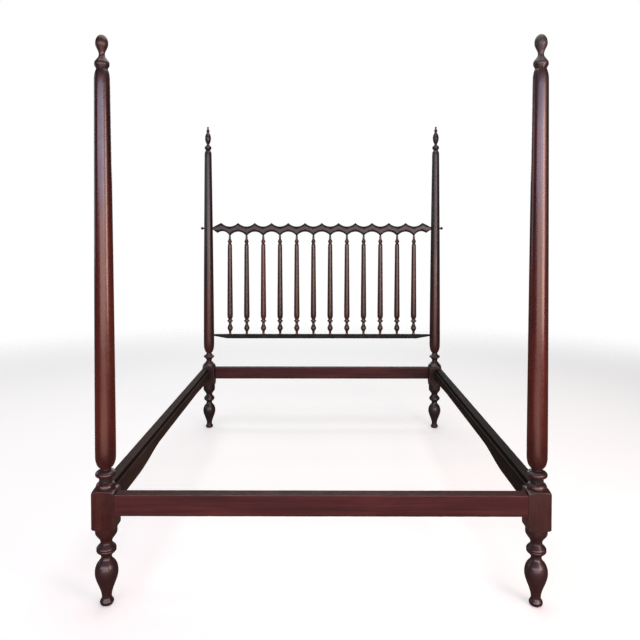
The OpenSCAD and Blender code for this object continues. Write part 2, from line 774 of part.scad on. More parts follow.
module headboard_bottom_rail() {
    taper_x = low_rail_half_l - low_rail_taper_l;
    end_z = low_rail_top_z - low_rail_end;
    color("#2b211f") difference() {
        union() {
            intersection() {
                // Front outline, whose underside rises to each end
                translate([0, post_y + low_rail_t / 2, 0])
                    rotate([90, 0, 0])
                    linear_extrude(height = low_rail_t)
                    polygon([
                        [-low_rail_half_l, end_z],
                        [-taper_x, low_rail_z],
                        [taper_x, low_rail_z],
                        [low_rail_half_l, end_z],
                        [low_rail_half_l, low_rail_top_z],
                        [-low_rail_half_l, low_rail_top_z]
                    ]);
                // Outline from above, which narrows alike
                translate([0, post_y, low_rail_z])
                    linear_extrude(height = low_rail_h)
                    polygon([
                        [-low_rail_half_l, -low_rail_end / 2],
                        [-taper_x, -low_rail_t / 2],
                        [taper_x, -low_rail_t / 2],
                        [low_rail_half_l, -low_rail_end / 2],
                        [low_rail_half_l, low_rail_end / 2],
                        [taper_x, low_rail_t / 2],
                        [-taper_x, low_rail_t / 2],
                        [-low_rail_half_l, low_rail_end / 2]
                    ]);
            }
            for (side = [0, 1])
                mirror([side, 0, 0])
                    translate([low_rail_half_l - overlap, post_y, low_tenon_z])
                    rotate([0, 90, 0])
                    cylinder(d = low_tenon_d, h = low_tenon_l + overlap, $fn = round_fn);
        }
        for (i = [1:spindle_count])
            translate([spindle_x(i), post_y, low_rail_top_z - spindle_low_tenon_l - end_gap])
                cylinder(
                    d = spindle_tenon_d + 2 * tenon_gap,
                    h = spindle_low_tenon_l + end_gap + overlap,
                    $fn = round_fn
                );
    }
}

module spindle(i) {
    shaft_l = point_z - low_rail_top_z - rise(spindle_low_stations) - rise(spindle_high_stations)
        + spindle_top_tenon_l;
    color("#3a2420") translate([spindle_x(i), post_y, low_rail_top_z]) {
        turning(
            concat(spindle_low_stations, [["line", spindle_top_d / 2, shaft_l]], spindle_high_stations),
            [spindle_foot_d / 2, 0]
        );
        translate([0, 0, -spindle_low_tenon_l])
            cylinder(d = spindle_tenon_d, h = spindle_low_tenon_l + overlap, $fn = round_fn);
    }
}

// The right pin, from its tip in the top rail to its ball outside the post
module headboard_pin() {
    tip_x = top_rail_half_l - pin_in_rail_l;
    ball_x = post_x + head_shaft_r(pin_z) + pin_show_l + pin_ball_d / 2;
    color("#1f1a19") {
        translate([tip_x, post_y, pin_z])
            rotate([0, 90, 0])
            cylinder(d = pin_d, h = ball_x - tip_x, $fn = round_fn);
        translate([ball_x, post_y, pin_z]) sphere(d = pin_ball_d, $fn = round_fn);
    }
}

// Puts what is made for the left side on the right
module on_right() {
    mirror([1, 0, 0]) children();
}

module left_foot_post() {
    color("#6b3324") translate([-post_x, -post_y, 0]) foot_post();
}

module left_head_post() {
    color("#33231f") translate([-post_x, post_y, 0]) mirror([0, 1, 0]) head_post();
}

module left_foot_finial() {
    color("#4a2f2c")
        translate([-post_x, -post_y, foot_post_h])
        finial(pear_stations, foot_collar_d, foot_dowel_d);
}

module left_head_finial() {
    color("#2b211f")
        translate([-post_x, post_y, head_post_h])
        finial(urn_stations, head_collar_d, head_dowel_d);
}

module foot_rail() {
    color("#4b2a2c") end_rail();
}

module head_rail() {
    color("#54383a") mirror([0, 1, 0]) end_rail();
}

module left_side_rail() {
    color("#453730") side_rail();
}

left_foot_post();  // foot_post_left
on_right() left_foot_post();  // foot_post_right
left_head_post();  // head_post_left
on_right() left_head_post();  // head_post_right
left_foot_finial();  // foot_finial_left
on_right() left_foot_finial();  // foot_finial_right
left_head_finial();  // head_finial_left
on_right() left_head_finial();  // head_finial_right
foot_rail();
head_rail();
left_side_rail();  // side_rail_left
on_right() left_side_rail();  // side_rail_right
headboard_top_rail();
headboard_bottom_rail();
for (i = [1:spindle_count])
    spindle(i);
on_right() headboard_pin();  // headboard_pin_left
headboard_pin();  // headboard_pin_right
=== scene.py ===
"""Looks of a four-post bed frame with a spindle headboard, in old turned and sawn mahogany.

The sizes in the tables are in millimetres. Everything given to Blender is in metres and in the frame's
own axes: +Z up, +Y towards the head, the origin on the floor midway between the four posts.
"""
import json
import math
import random

import bmesh
import bpy
import numpy as np
from mathutils import Matrix, Vector, noise


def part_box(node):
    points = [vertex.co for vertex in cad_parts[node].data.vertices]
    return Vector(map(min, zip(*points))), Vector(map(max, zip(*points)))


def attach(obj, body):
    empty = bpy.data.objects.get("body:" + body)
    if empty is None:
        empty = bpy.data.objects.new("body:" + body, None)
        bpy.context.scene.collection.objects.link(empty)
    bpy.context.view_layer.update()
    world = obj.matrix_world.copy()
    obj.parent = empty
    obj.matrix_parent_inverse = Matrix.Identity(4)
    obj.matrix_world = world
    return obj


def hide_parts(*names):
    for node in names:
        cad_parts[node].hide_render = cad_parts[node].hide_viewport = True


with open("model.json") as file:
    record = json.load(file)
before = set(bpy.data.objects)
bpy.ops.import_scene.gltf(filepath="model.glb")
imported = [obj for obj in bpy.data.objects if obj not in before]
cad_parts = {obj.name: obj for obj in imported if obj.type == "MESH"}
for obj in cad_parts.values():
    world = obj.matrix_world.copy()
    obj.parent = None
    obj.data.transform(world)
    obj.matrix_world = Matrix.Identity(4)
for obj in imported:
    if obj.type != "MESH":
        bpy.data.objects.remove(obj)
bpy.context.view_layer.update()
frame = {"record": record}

MM = 0.001

# --- sizes ---

# A turned outline, from below upwards. Each row says how the outline runs to a place, then gives the
# diameter there and the height of the stretch. A line is straight and an ogee is an S curve. A dome
# leaves upright and arrives level, and a bowl leaves level and arrives upright. Domes and bowls may say
# how far they turn, and a shaft says how full its taper is.
FULL_TURN = math.radians(82)
SOFT_TURN = math.radians(50)
SHOULDER_TURN = math.radians(58)
QUARTER_TURN = math.radians(90)

FOOT_FLAT_D = 26
LEG = [
    ("bowl", 46, 12),  # bun foot
    ("ogee", 32.5, 16),  # ankle
    ("ogee", 77, 86),  # vase
    ("dome", 46, 39, SHOULDER_TURN),
    ("bowl", 35, 14, SOFT_TURN),  # neck
    ("ogee", 66, 21),  # ring, from below
    ("line", 63.6, 3),  # fine groove round the ring's edge
    ("line", 66, 3),
    ("ogee", 39, 21),  # ring, to above
    ("line", 39, 2),
]
FOOT_CUP = [("ogee", 73, 34), ("line", 73, 16)]
HEAD_CUP = [("ogee", 73, 34), ("line", 73, 28)]

FOOT_TURNING = [
    ("line", 60, 0),
    ("line", 60, 2.5),  # narrow fillet
    ("line", 66, 0),
    ("line", 66, 1.5),
    ("dome", 44, 15),  # round shoulder
    ("line", 44, 17),
    ("bowl", 69, 9.5),  # disc
    ("line", 69, 2),
    ("dome", 35, 14, SOFT_TURN),
    ("line", 35, 5.5),
    ("bowl", 68, 40),  # round lower end of the shaft
    ("shaft", 52, 1255, 1.35),
    ("dome", 37, 36, SOFT_TURN),
    ("line", 50, 12),  # collar
    ("line", 50, 3),
]
HEAD_TURNING = [
    ("line", 53, 0),
    ("dome", 34, 10),  # small cap on the block
    ("line", 34, 8),
    ("dome", 67, 21, SOFT_TURN),  # ring
    ("line", 67, 7),
    ("bowl", 32, 21, SOFT_TURN),
    ("bowl", 66, 57),  # round lower end of the shaft
    ("shaft", 44.5, 1214, 1.35),
    ("dome", 28, 22, SOFT_TURN),
    ("ogee", 43, 15),  # collar
    ("line", 43, 2),
]
PEAR = [
    ("line", 50, 2),
    ("ogee", 20, 29),
    ("line", 20, 2),
    ("ogee", 42.5, 35),
    ("dome", 0, 30, QUARTER_TURN),
]
URN = [
    ("line", 43, 4),
    ("ogee", 16.5, 17),
    ("line", 16.5, 4),
    ("bowl", 37.5, 37, SOFT_TURN),  # urn
    ("dome", 11.5, 36, SOFT_TURN),
    ("bowl", 20, 10),  # bead
    ("dome", 7.5, 11),
    ("ogee", 12.5, 9),  # ball at the tip
    ("dome", 0, 6.25, QUARTER_TURN),
]
SPINDLE_FOOT_D = 17
SPINDLE_LOW = [
    ("bowl", 15, 13),
    ("ogee", 35, 25),  # bulb
    ("ogee", 17, 32),
    ("dome", 38, 13, SOFT_TURN),  # disc
    ("line", 38, 3),
    ("bowl", 22, 13, SOFT_TURN),
    ("bowl", 36, 24),
]
SPINDLE_TOP_D = 27.5
SPINDLE_HIGH = [
    ("dome", 17, 20),
    ("ogee", 28, 10),  # upper bead
    ("ogee", 14, 20),
]
SPINDLE_UPPER_NECK_D = 14
SPINDLE_TENON_D = 10.5
SPINDLE_LOW_TENON_L = 18
SPINDLE_TOP_TENON_L = 20
SPINDLE_UPPER_NECK_H = 16

BLOCK_HALF = 38
# Each block: its straight height, the height and diameter of the turned corners below it and above it,
# how far the turned top bulges, and how crisp its upright corners are
FOOT_BLOCK = {"straight": 125, "under": (5, 98), "top": (8, 64), "bulge": 1.0, "crispness": 60}
HEAD_BLOCK = {"straight": 97, "under": (22, 84), "top": (42, 56), "bulge": 4.5, "crispness": 44}

DOWEL_L = 45
FOOT_DOWEL_D = 18
HEAD_DOWEL_D = 14
RUNNING_GAP = 0.08
TENON_GAP = 0.2
END_GAP = 2
CUT_OVER = 4  # how far a hole's cutter runs out of the wood

TENON_L = 36
TENON_T = 16
TENON_SHOULDER = 10

SIDE_RAIL_FOOT_H = 83
SIDE_RAIL_MID_H = 58.5
SIDE_RAIL_HEAD_H = 70
SIDE_RAIL_FOOT_L = 340
SIDE_RAIL_FOOT_CURVE_L = 330
SIDE_RAIL_HEAD_CURVE_L = 450
REBATE_W = 9
REBATE_DEPTH = 14

PEAK_H = 35
HOLLOW_DEPTH = 23
POINT_DEPTH = 50
ARCH_RISE = 28.5
END_POINT_DEPTH = 29
END_POINT_REACH = 78
END_ARCH_RISE = 20
TOP_RAIL_END_H = 14
LOW_RAIL_TAPER_L = 86
LOW_RAIL_END = 12
LOW_TENON_D = 10
LOW_TENON_L = 25

PIN_D = 9
PIN_BALL_D = 18
PIN_IN_RAIL_L = 45

# How worn the five points round an eased corner are
CORNER_WEAR = [0.4, 0.8, 1.0, 0.8, 0.4]


# --- turned outlines ---


def turn_share(angle, turn):
    """How far across and how far along a curve is that has turned through angle, of turn in all."""
    return (1 - np.cos(angle)) / (1 - math.cos(turn)), np.sin(angle) / math.sin(turn)


def way_through(shape, extra):
    """The shares of its width and of its height that a stretch has covered, from just after its start."""
    steps = {"line": 1, "shaft": 60}.get(shape, 24)
    share = np.arange(1, steps + 1) / steps
    if shape == "ogee":
        return (1 - np.cos(math.pi * share)) / 2, share
    if shape == "shaft":
        return share**extra, share
    if shape == "dome":
        return turn_share(share * extra, extra)
    if shape == "bowl":
        across, along = turn_share((1 - share) * extra, extra)
        return 1 - across, 1 - along
    return share, share


def outline_of(rows, start):
    """The points of a turned outline, as radius and height, from the start given."""
    points = [np.array(start, float)]
    for shape, diameter, height, *extra in rows:
        turn = extra[0] if extra else FULL_TURN
        across, along = way_through(shape, turn)
        step = np.array([diameter / 2 - points[-1][0], height])
        points.extend(points[-1] + step * np.column_stack([across, along]))
    return np.array(points)


def spaced(points, gap):
    """Points a steady gap apart on the way through the points given."""
    lengths = np.linalg.norm(np.diff(points, axis=0), axis=1)
    along = np.concatenate([[0], np.cumsum(lengths)])
    places = np.linspace(0, along[-1], int(along[-1] / gap) + 2)
    return np.column_stack([np.interp(places, along, points[:, i]) for i in range(points.shape[1])])


def blurred(points, reach):
    """The points drawn towards their neighbours within reach steps, with both ends kept."""
    span = int(3 * reach) + 1
    weights = np.exp(-0.5 * (np.arange(-span, span + 1) / reach) ** 2)
    weights /= weights.sum()
    ends = [2 * points[0] - points[span:0:-1], points, 2 * points[-1] - points[-2 : -span - 2 : -1]]
    long = np.concatenate(ends)
    return np.column_stack([np.convolve(long[:, i], weights, "valid") for i in range(points.shape[1])])


def kept_points(points, turn, gap):
    """Which points are needed so that the way turns, and runs on, no more than this between them."""
    steps = np.diff(points, axis=0)
    heading = np.unwrap(np.arctan2(steps[:, 1], steps[:, 0]))
    keep = [0]
    for i in range(1, len(steps)):
        turned = abs(heading[i] - heading[keep[-1]])
        if turned > turn or np.linalg.norm(points[i] - points[keep[-1]]) > gap:
            keep.append(i)
    return np.array(keep + [len(points) - 1])


def worn_outline(rows, start, ease=0.6, gap=20.0):
    """A turned outline with its edges eased as handling wears them, and its wear and its dirt and painted
    shade at each point.

    Wear is high where the outline stands out from its own run, and dirt and painted shade are high where it
    lies back.
    """
    spacing = 0.4
    plain = spaced(outline_of(rows, start), spacing)
    eased = blurred(plain, ease / spacing)
    eased[0], eased[-1] = plain[0], plain[-1]
    keep = kept_points(eased, math.radians(7), gap)
    run = np.gradient(eased, axis=0)
    outward = np.column_stack([run[:, 1], -run[:, 0]])
    outward /= np.linalg.norm(outward, axis=1)[:, None] + 1e-9
    stands_out = np.sum((eased - blurred(plain, 4 / spacing)) * outward, axis=1)
    wear = np.clip(stands_out / 1.3, 0, 1)
    dirt_and_shade = np.clip(-stands_out / 1.1, 0, 1)
    return eased[keep], wear[keep], dirt_and_shade[keep]


# --- mesh making ---


class Shape:
    """Vertices in metres and faces, with what each vertex says of the surface there.

    wear and dirt_and_shade run from 0 to 1; dirt_and_shade is dirt together with painted shade. A vertex
    with exact set lies on a fit and isn't weathered.
    """

    def __init__(self, points, faces, wear, dirt_and_shade, exact):
        self.points = np.asarray(points, float)
        self.faces = faces
        self.marks = {"wear": np.asarray(wear), "dirt_and_shade": np.asarray(dirt_and_shade), "exact": np.asarray(exact)}


def tube_faces(rings, count):
    """Four-sided faces between neighbouring rings of count vertices."""
    near = np.arange(count)
    far = np.roll(near, -1)
    base = (np.arange(rings - 1) * count)[:, None]
    corners = [base + near, base + far, base + count + far, base + count + near]
    return np.stack(corners, axis=-1).reshape(-1, 4).tolist()


def revolved(radius, level, angles, wear, dirt_and_shade, exact):
    """A closed turned shape. Each argument but angles has a row for each ring and a column for each angle,
    and the first and last rings close on the axis."""
    rings, count = radius.shape
    points = np.stack([radius * np.cos(angles), radius * np.sin(angles), level], axis=-1).reshape(-1, 3)
    poles = [[0, 0, level[0].mean()], [0, 0, level[-1].mean()]]
    points = np.concatenate([points, poles])
    faces = tube_faces(rings, count)
    low_pole, high_pole = rings * count, rings * count + 1
    last = (rings - 1) * count
    for i in range(count):
        j = (i + 1) % count
        faces.append([low_pole, j, i])
        faces.append([high_pole, last + i, last + j])
    marks = [np.concatenate([mark.reshape(-1), mark[[0, -1], 0]]) for mark in (wear, dirt_and_shade, exact)]
    return Shape(points, faces, *marks)


def spread(column, angles):
    """A value for each ring, repeated for every angle."""
    return np.repeat(np.asarray(column, float)[:, None], len(angles), axis=1)


def turned_shape(parts, segments):
    """A round shape from outline parts, each with its points in millimetres, wear, dirt and painted shade,
    and exactness.
    """
    angles = np.arange(segments) * 2 * math.pi / segments
    points = np.concatenate([part[0] for part in parts])
    marks = [np.concatenate([part[k] for part in parts]) for k in (1, 2, 3)]
    columns = [spread(column, angles) for column in (points[:, 0] * MM, points[:, 1] * MM, *marks)]
    return revolved(columns[0], columns[1], angles, *columns[2:])


def fit_part(points, dirt_and_shade=0.0):
    """Points of an outline that lie on a fit: neither worn nor weathered."""
    points = np.array(points, float)
    count = len(points)
    return points, np.zeros(count), np.full(count, dirt_and_shade), np.ones(count)


def open_part(outline):
    """A worn outline as a part that weather may touch."""
    points, wear, dirt_and_shade = outline
    return points, wear, dirt_and_shade, np.zeros(len(points))


def lofted(rings, wear, dirt_and_shade, exact):
    """A closed shape through rings of points, with a flat face over each end."""
    count = rings.shape[1]
    faces = tube_faces(len(rings), count)
    faces.append(list(range(count))[::-1])
    faces.append([(len(rings) - 1) * count + i for i in range(count)])
    return Shape(rings.reshape(-1, 3), faces, wear.reshape(-1), dirt_and_shade.reshape(-1), exact.reshape(-1))


def eased_corner(before, corner, after, reach):
    """Five points that round a corner off, for each of many corners at once."""
    back = before - corner
    on = after - corner
    back_l = np.linalg.norm(back, axis=-1, keepdims=True)
    on_l = np.linalg.norm(on, axis=-1, keepdims=True)
    start = corner + back / back_l * np.minimum(reach, 0.4 * back_l)
    end = corner + on / on_l * np.minimum(reach, 0.4 * on_l)
    return [(1 - t) ** 2 * start + 2 * t * (1 - t) * corner + t**2 * end for t in (0, 0.25, 0.5, 0.75, 1)]


def between(start, end, shares):
    """Points at these shares of the way from start to end."""
    return [start + (end - start) * share for share in shares]


def eased_ring(corners, reach, edge_steps):
    """A closed ring round corners, for every station at once. corners holds stations, corners and x, y."""
    rows = []
    count = corners.shape[1]
    rounded = [
        eased_corner(corners[:, i - 1], corners[:, i], corners[:, (i + 1) % count], reach)
        for i in range(count)
    ]
    shares = np.arange(1, edge_steps) / edge_steps
    for i in range(count):
        rows += rounded[i]
        rows += between(rounded[i][-1], rounded[(i + 1) % count][0], shares)
    return np.stack(rows, axis=1)


def weather(mesh, grain_axis, depth, bites, seed):
    """Draws the surface in by up to depth in long soft waves, and takes small bites out of worn edges."""
    count = len(mesh.vertices)
    co, normal = np.zeros(count * 3), np.zeros(count * 3)
    mesh.vertices.foreach_get("co", co)
    mesh.vertex_normals.foreach_get("vector", normal)
    co, normal = co.reshape(-1, 3), normal.reshape(-1, 3)
    wear, exact = read_mark(mesh, "wear"), read_mark(mesh, "exact")
    # Waves for each metre: many across the grain and few along it
    stretch = np.full(3, 22.0)
    stretch[grain_axis] = 5.0
    bites_per_metre = 75
    far_off = Vector((seed * 3.7, seed * 1.3, seed * 2.9))
    for i in np.flatnonzero(exact < 0.5):
        place = Vector(co[i] * stretch) + far_off
        wave = 0.5 - 0.5 * noise.noise(place)
        bite = max(0.0, noise.noise(Vector(co[i] * bites_per_metre) + far_off) - 0.1) * wear[i]
        co[i] -= normal[i] * (depth * wave + bites * bite)
    mesh.vertices.foreach_set("co", co.reshape(-1))


def read_mark(mesh, name):
    values = np.zeros(len(mesh.vertices))
    mesh.attributes[name].data.foreach_get("value", values)
    return values


def write_mark(mesh, name, values):
    attribute = mesh.attributes.get(name) or mesh.attributes.new(name, "FLOAT", "POINT")
    attribute.data.foreach_set("value", np.asarray(values, np.float32))


def as_mesh(name, shape, place=(0, 0, 0), rotation=None, grain_axis=2, depth=0.1, bites=0.0, seed=0):
    """A mesh of the shape, weathered, turned and put in its place, which is given in millimetres."""
    mesh = bpy.data.meshes.new(name)
    mesh.from_pydata(shape.points.tolist(), [], shape.faces)
    for mark, values in shape.marks.items():
        write_mark(mesh, mark, values)
    write_mark(mesh, "own", np.ones(len(mesh.vertices)))
    work = bmesh.new()
    work.from_mesh(mesh)
    bmesh.ops.remove_doubles(work, verts=work.verts, dist=0.004 * MM)
    bmesh.ops.dissolve_degenerate(work, edges=work.edges, dist=0.002 * MM)
    bmesh.ops.recalc_face_normals(work, faces=work.faces)
    work.to_mesh(mesh)
    work.free()
    weather(mesh, grain_axis, depth * MM, bites * MM, seed)
    if rotation is not None:
        mesh.transform(rotation)
    mesh.transform(Matrix.Translation(Vector(place) * MM))
    return mesh


def add_object(name, data):
    """An object with this data, in the scene."""
    thing = bpy.data.objects.new(name, data)
    bpy.context.scene.collection.objects.link(thing)
    return thing


def box_cutter(low, high):
    """The corners and faces of a box given in millimetres, for carve."""
    xs, ys, zs = [(a * MM, b * MM) for a, b in zip(low, high)]
    points = [(x, y, z) for x in xs for y in ys for z in zs]
    faces = [(0, 1, 3, 2), (4, 6, 7, 5), (0, 4, 5, 1), (2, 3, 7, 6), (0, 2, 6, 4), (1, 5, 7, 3)]
    return points, faces


def rod_cutter(start, axis, length, diameter, sides=48):
    """The points and faces of a round rod given in millimetres, along an axis, 0 to 2, for carve."""
    start = [v * MM for v in start]
    radius = diameter * MM / 2
    points = []
    for reach in (0, length * MM):
        for angle in np.arange(sides) * 2 * math.pi / sides:
            point = [0.0, 0.0, 0.0]
            point[axis] = reach
            point[(axis + 1) % 3] = radius * math.cos(angle)
            point[(axis + 2) % 3] = radius * math.sin(angle)
            points.append(tuple(start[k] + point[k] for k in range(3)))
    faces = [(i, (i + 1) % sides, sides + (i + 1) % sides, sides + i) for i in range(sides)]
    faces.append(tuple(range(sides))[::-1])
    faces.append(tuple(range(sides, 2 * sides)))
    return points, faces


def carve(mesh, cutters):
    """The mesh with the cutters taken out of it. What they lay bare is painted dark, as dirt and shade."""
    points, faces = [], []
    for cutter_points, cutter_faces in cutters:
        faces += [[i + len(points) for i in face] for face in cutter_faces]
        points += cutter_points
    tool_mesh = bpy.data.meshes.new("tool")
    tool_mesh.from_pydata(points, [], faces)
    work = bmesh.new()
    work.from_mesh(tool_mesh)
    bmesh.ops.recalc_face_normals(work, faces=work.faces)
    work.to_mesh(tool_mesh)
    work.free()
    tool = add_object("tool", tool_mesh)
    blank = add_object("blank", mesh)
    cut = blank.modifiers.new("cut", "BOOLEAN")
    cut.operation = "DIFFERENCE"
    cut.solver = "MANIFOLD"
    cut.object = tool
    bpy.context.view_layer.update()
    done = bpy.data.meshes.new_from_object(blank.evaluated_get(bpy.context.evaluated_depsgraph_get()))
    for thing in (tool, blank):
        bpy.data.objects.remove(thing)
    bare = read_mark(done, "own") < 0.5
    write_mark(done, "dirt_and_shade", np.where(bare, 1.0, read_mark(done, "dirt_and_shade")))
    return done


# --- bookkeeping ---

node_body = {n: body for body, nodes in frame["record"]["behaviour"]["bodies"].items() for n in nodes}
rng = random.Random(11)


def place_piece(node, mesh, slot, grain_axis, tone=0.5, tone_levels=((0, 0),)):
    """Makes the mesh a piece that stands for a node, and gives it its own stretch of wood and its tone.

    tone_levels gives levels above the floor in metres, each with what is added to the tone there.
    """
    piece = add_object("dressed_" + node, mesh)
    mesh.materials.clear()
    mesh.materials.append(materials[slot])
    mesh.polygons.foreach_set("use_smooth", np.ones(len(mesh.polygons), bool))
    mesh.set_sharp_from_angle(angle=math.radians(38))
    co = np.zeros(len(mesh.vertices) * 3, np.float32)
    mesh.vertices.foreach_get("co", co)
    co = co.reshape(-1, 3)
    # The wood's own axes: its length last, wherever the piece points
    order = [(grain_axis + 1) % 3, (grain_axis + 2) % 3, grain_axis]
    shift = [rng.uniform(3, 9), rng.uniform(3, 9), rng.uniform(3, 9)]
    middle = (co.max(0) + co.min(0)) / 2
    grain = (co - middle)[:, order] + np.array(shift, np.float32)
    attribute = mesh.attributes.new("grain", "FLOAT_VECTOR", "POINT")
    attribute.data.foreach_set("vector", grain.astype(np.float32).reshape(-1))
    levels, additions = zip(*tone_levels)
    write_mark(mesh, "tone", tone + np.interp(co[:, 2], levels, additions))
    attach(piece, node_body[node])
    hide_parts(node)


def box_mm(node):
    """The lowest and highest corners of a CAD node, in millimetres."""
    low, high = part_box(node)
    return np.array(low) / MM, np.array(high) / MM


def pin_level():
    """The level of both pins' axes, in millimetres."""
    low, high = box_mm("headboard_pin_right")
    return (low[2] + high[2]) / 2


# --- posts ---


def square_angles():
    """Angles round a post, closer together where the square block has its corners."""
    eighth = [0, 4, 8, 12, 16, 20, 24, 28, 32, 36, 39.5, 42, 43.4, 44.3]
    quarter = eighth + [45] + [90 - a for a in eighth[:0:-1]]
    return np.radians([a + 90 * k for k in range(4) for a in quarter])


def block_rows(angles, block, cup_r, block_z):
    """Rings of points, as radius and height, over a square block whose corners are turned in.

    They start just after the cup's radius at block_z and end just before the top's own radius.
    """
    crispness = block["crispness"]
    roundness = np.abs(np.cos(angles)) ** crispness + np.abs(np.sin(angles)) ** crispness
    side_r = BLOCK_HALF * roundness ** (-1 / crispness)
    corner_r = BLOCK_HALF * math.sqrt(2)
    under_h, under_d = block["under"]
    top_h, top_d = block["top"]
    ease = 1.4
    shoulder_z = block_z + block["straight"]
    low = np.stack([np.minimum(under_d / 2, side_r) - ease, np.full(len(angles), block_z)], -1)
    rise = under_h * (side_r - under_d / 2) / (corner_r - under_d / 2)
    side_low = np.stack([side_r, block_z + np.maximum(rise, ease)], -1)
    # The turned top's radius falls from the corners to the top's own, along a bulging slope
    share = np.linspace(0, 1, 200)
    slope_r = corner_r + (top_d / 2 - corner_r) * share + block["bulge"] * 4 * share * (1 - share)
    falling = np.minimum.accumulate(slope_r)
    start_share = np.interp(-side_r, -falling, share)

    def on_slope(way):
        at = start_share + (1 - start_share) * way
        return np.stack([np.interp(at, share, falling), shoulder_z + top_h * at], -1)

    side_high = on_slope(0)
    cup = np.stack([np.full(len(angles), cup_r), np.full(len(angles), float(block_z))], -1)
    low_corner = eased_corner(cup, low, side_low, 1.0)
    side_low_corner = eased_corner(low, side_low, side_high, 1.0)
    side_high_corner = eased_corner(side_low, side_high, on_slope(0.2), 1.3)
    up_shares = (1 - np.cos(math.pi * np.arange(1, 16) / 16)) / 2
    stretches = [
        (between(cup, low_corner[0], (0.35, 0.7)), [0.0] * 2),
        (low_corner, [0.2, 0.4, 0.6, 0.6, 0.6]),
        (side_low_corner, [0.7, 0.9, 1.0, 0.8, 0.4]),
        (between(side_low_corner[-1], side_high_corner[0], up_shares), [0.0] * len(up_shares)),
        (side_high_corner, CORNER_WEAR),
    ]
    rows = [ring for rings, _ in stretches for ring in rings]
    wear = [value for _, values in stretches for value in values]
    slope_start = side_high_corner[-1]
    for way in np.arange(1, 12) / 12:
        target = on_slope(way)
        blend = min(1.0, way * 3)
        straight = slope_start + (on_slope(1.0) - slope_start) * way
        rows.append(straight * (1 - blend) + target * blend)
        wear.append(0.0)
    rows = np.stack(rows)
    at_corner = np.abs((np.degrees(angles) % 90) - 45)
    upright = np.exp(-((at_corner / 2.2) ** 2)) * (rows[..., 0] > side_r * 0.98)
    wear = np.maximum(np.array(wear)[:, None], 0.9 * upright)
    height = rows[..., 1]
    # Painted shade, with dirt, in the crease at the block's foot and where its turned top meets the turning
    # above
    dirt_and_shade = np.clip(1 - (height - block_z) / 4, 0, 1) * (rows[..., 0] < BLOCK_HALF)
    dirt_and_shade = np.maximum(dirt_and_shade, np.clip(1 - (shoulder_z + top_h - height) / 5, 0, 1))
    return rows[..., 0], rows[..., 1], wear, dirt_and_shade


def post_shape(cup, block, turning, dowel_d):
    """A whole post on its own axis: leg, block, turning above it, and the bore for the finial's dowel."""
    angles = square_angles()
    leg = worn_outline([("line", FOOT_FLAT_D, 0)] + LEG + cup, (1, 0), gap=12)
    block_z = leg[0][-1][1]
    rows = block_rows(angles, block, leg[0][-1][0], block_z)
    top_z = block_z + block["straight"] + block["top"][0]
    upper = worn_outline(turning, (block["top"][1] / 2, top_z), gap=24)
    post_h = upper[0][-1][1]
    bore_r = dowel_d / 2 + RUNNING_GAP
    floor_z = post_h - DOWEL_L - END_GAP
    chamfer = 0.6
    mouth = [(bore_r + chamfer, post_h), (bore_r, post_h - chamfer)]
    # The bore's wall is painted dark, as dirt and shade
    bore = fit_part(mouth + [(bore_r, floor_z), (1, floor_z)], dirt_and_shade=0.9)
    leg_part, upper_part = open_part(leg), open_part(upper)
    leg_part[3][:] = leg_part[0][:, 1] < 1.0
    upper_part[3][:] = upper_part[0][:, 1] > post_h - 0.5
    above = [np.concatenate([upper_part[k], bore[k]]) for k in range(4)]

    def stacked(leg_column, block_grid, above_column):
        return np.concatenate([spread(leg_column, angles), block_grid, spread(above_column, angles)])

    return revolved(
        stacked(leg_part[0][:, 0], rows[0], above[0][:, 0]) * MM,
        stacked(leg_part[0][:, 1], rows[1], above[0][:, 1]) * MM,
        angles,
        stacked(leg_part[1], rows[2], above[1]),
        stacked(leg_part[2], rows[3], above[2]),
        stacked(leg_part[3], np.zeros_like(rows[0]), above[3]),
    )


def mortises(axis_x, axis_y, inward_x, inward_y):
    """Boxes for the end rail's and the side rail's tenons in a post at this axis."""
    end_low, end_high = box_mm("foot_rail")
    side_top_z = box_mm("side_rail_left")[1][2]
    # Across the mortise, measured from the post's axis towards its outer face
    middle = BLOCK_HALF - (end_high[1] - end_low[1]) / 2
    across = (middle - TENON_T / 2 - TENON_GAP, middle + TENON_T / 2 + TENON_GAP)
    into = (BLOCK_HALF - TENON_L - END_GAP, BLOCK_HALF + END_GAP)

    def cutter(xs, ys, low_z, high_z):
        low = [min(xs), min(ys), low_z + TENON_SHOULDER - TENON_GAP]
        high = [max(xs), max(ys), high_z - TENON_SHOULDER + TENON_GAP]
        return box_cutter(low, high)

    end_xs = [axis_x + inward_x * v for v in into]
    end_ys = [axis_y - inward_y * v for v in across]
    side_xs = [axis_x - inward_x * v for v in across]
    side_ys = [axis_y + inward_y * v for v in into]
    return [
        cutter(end_xs, end_ys, end_low[2], end_high[2]),
        cutter(side_xs, side_ys, side_top_z - SIDE_RAIL_HEAD_H, side_top_z),
    ]


# How a post's tone changes with its height: darker at the foot and the block, red above, darker and duller
# at the top
POST_TONES = {
    "foot": (
        (0.0, -0.8), (0.22, -0.65), (0.3, -0.45), (0.38, -0.5), (0.46, -0.6), (0.5, -0.3), (0.6, 0.0),
        (1.1, 0.0), (1.6, -0.35), (1.8, -0.65),
    ),
    "head": ((0.0, -0.7), (0.3, -0.5), (0.45, -0.1), (0.8, 0.0), (1.15, -0.5), (1.8, -0.75)),
}


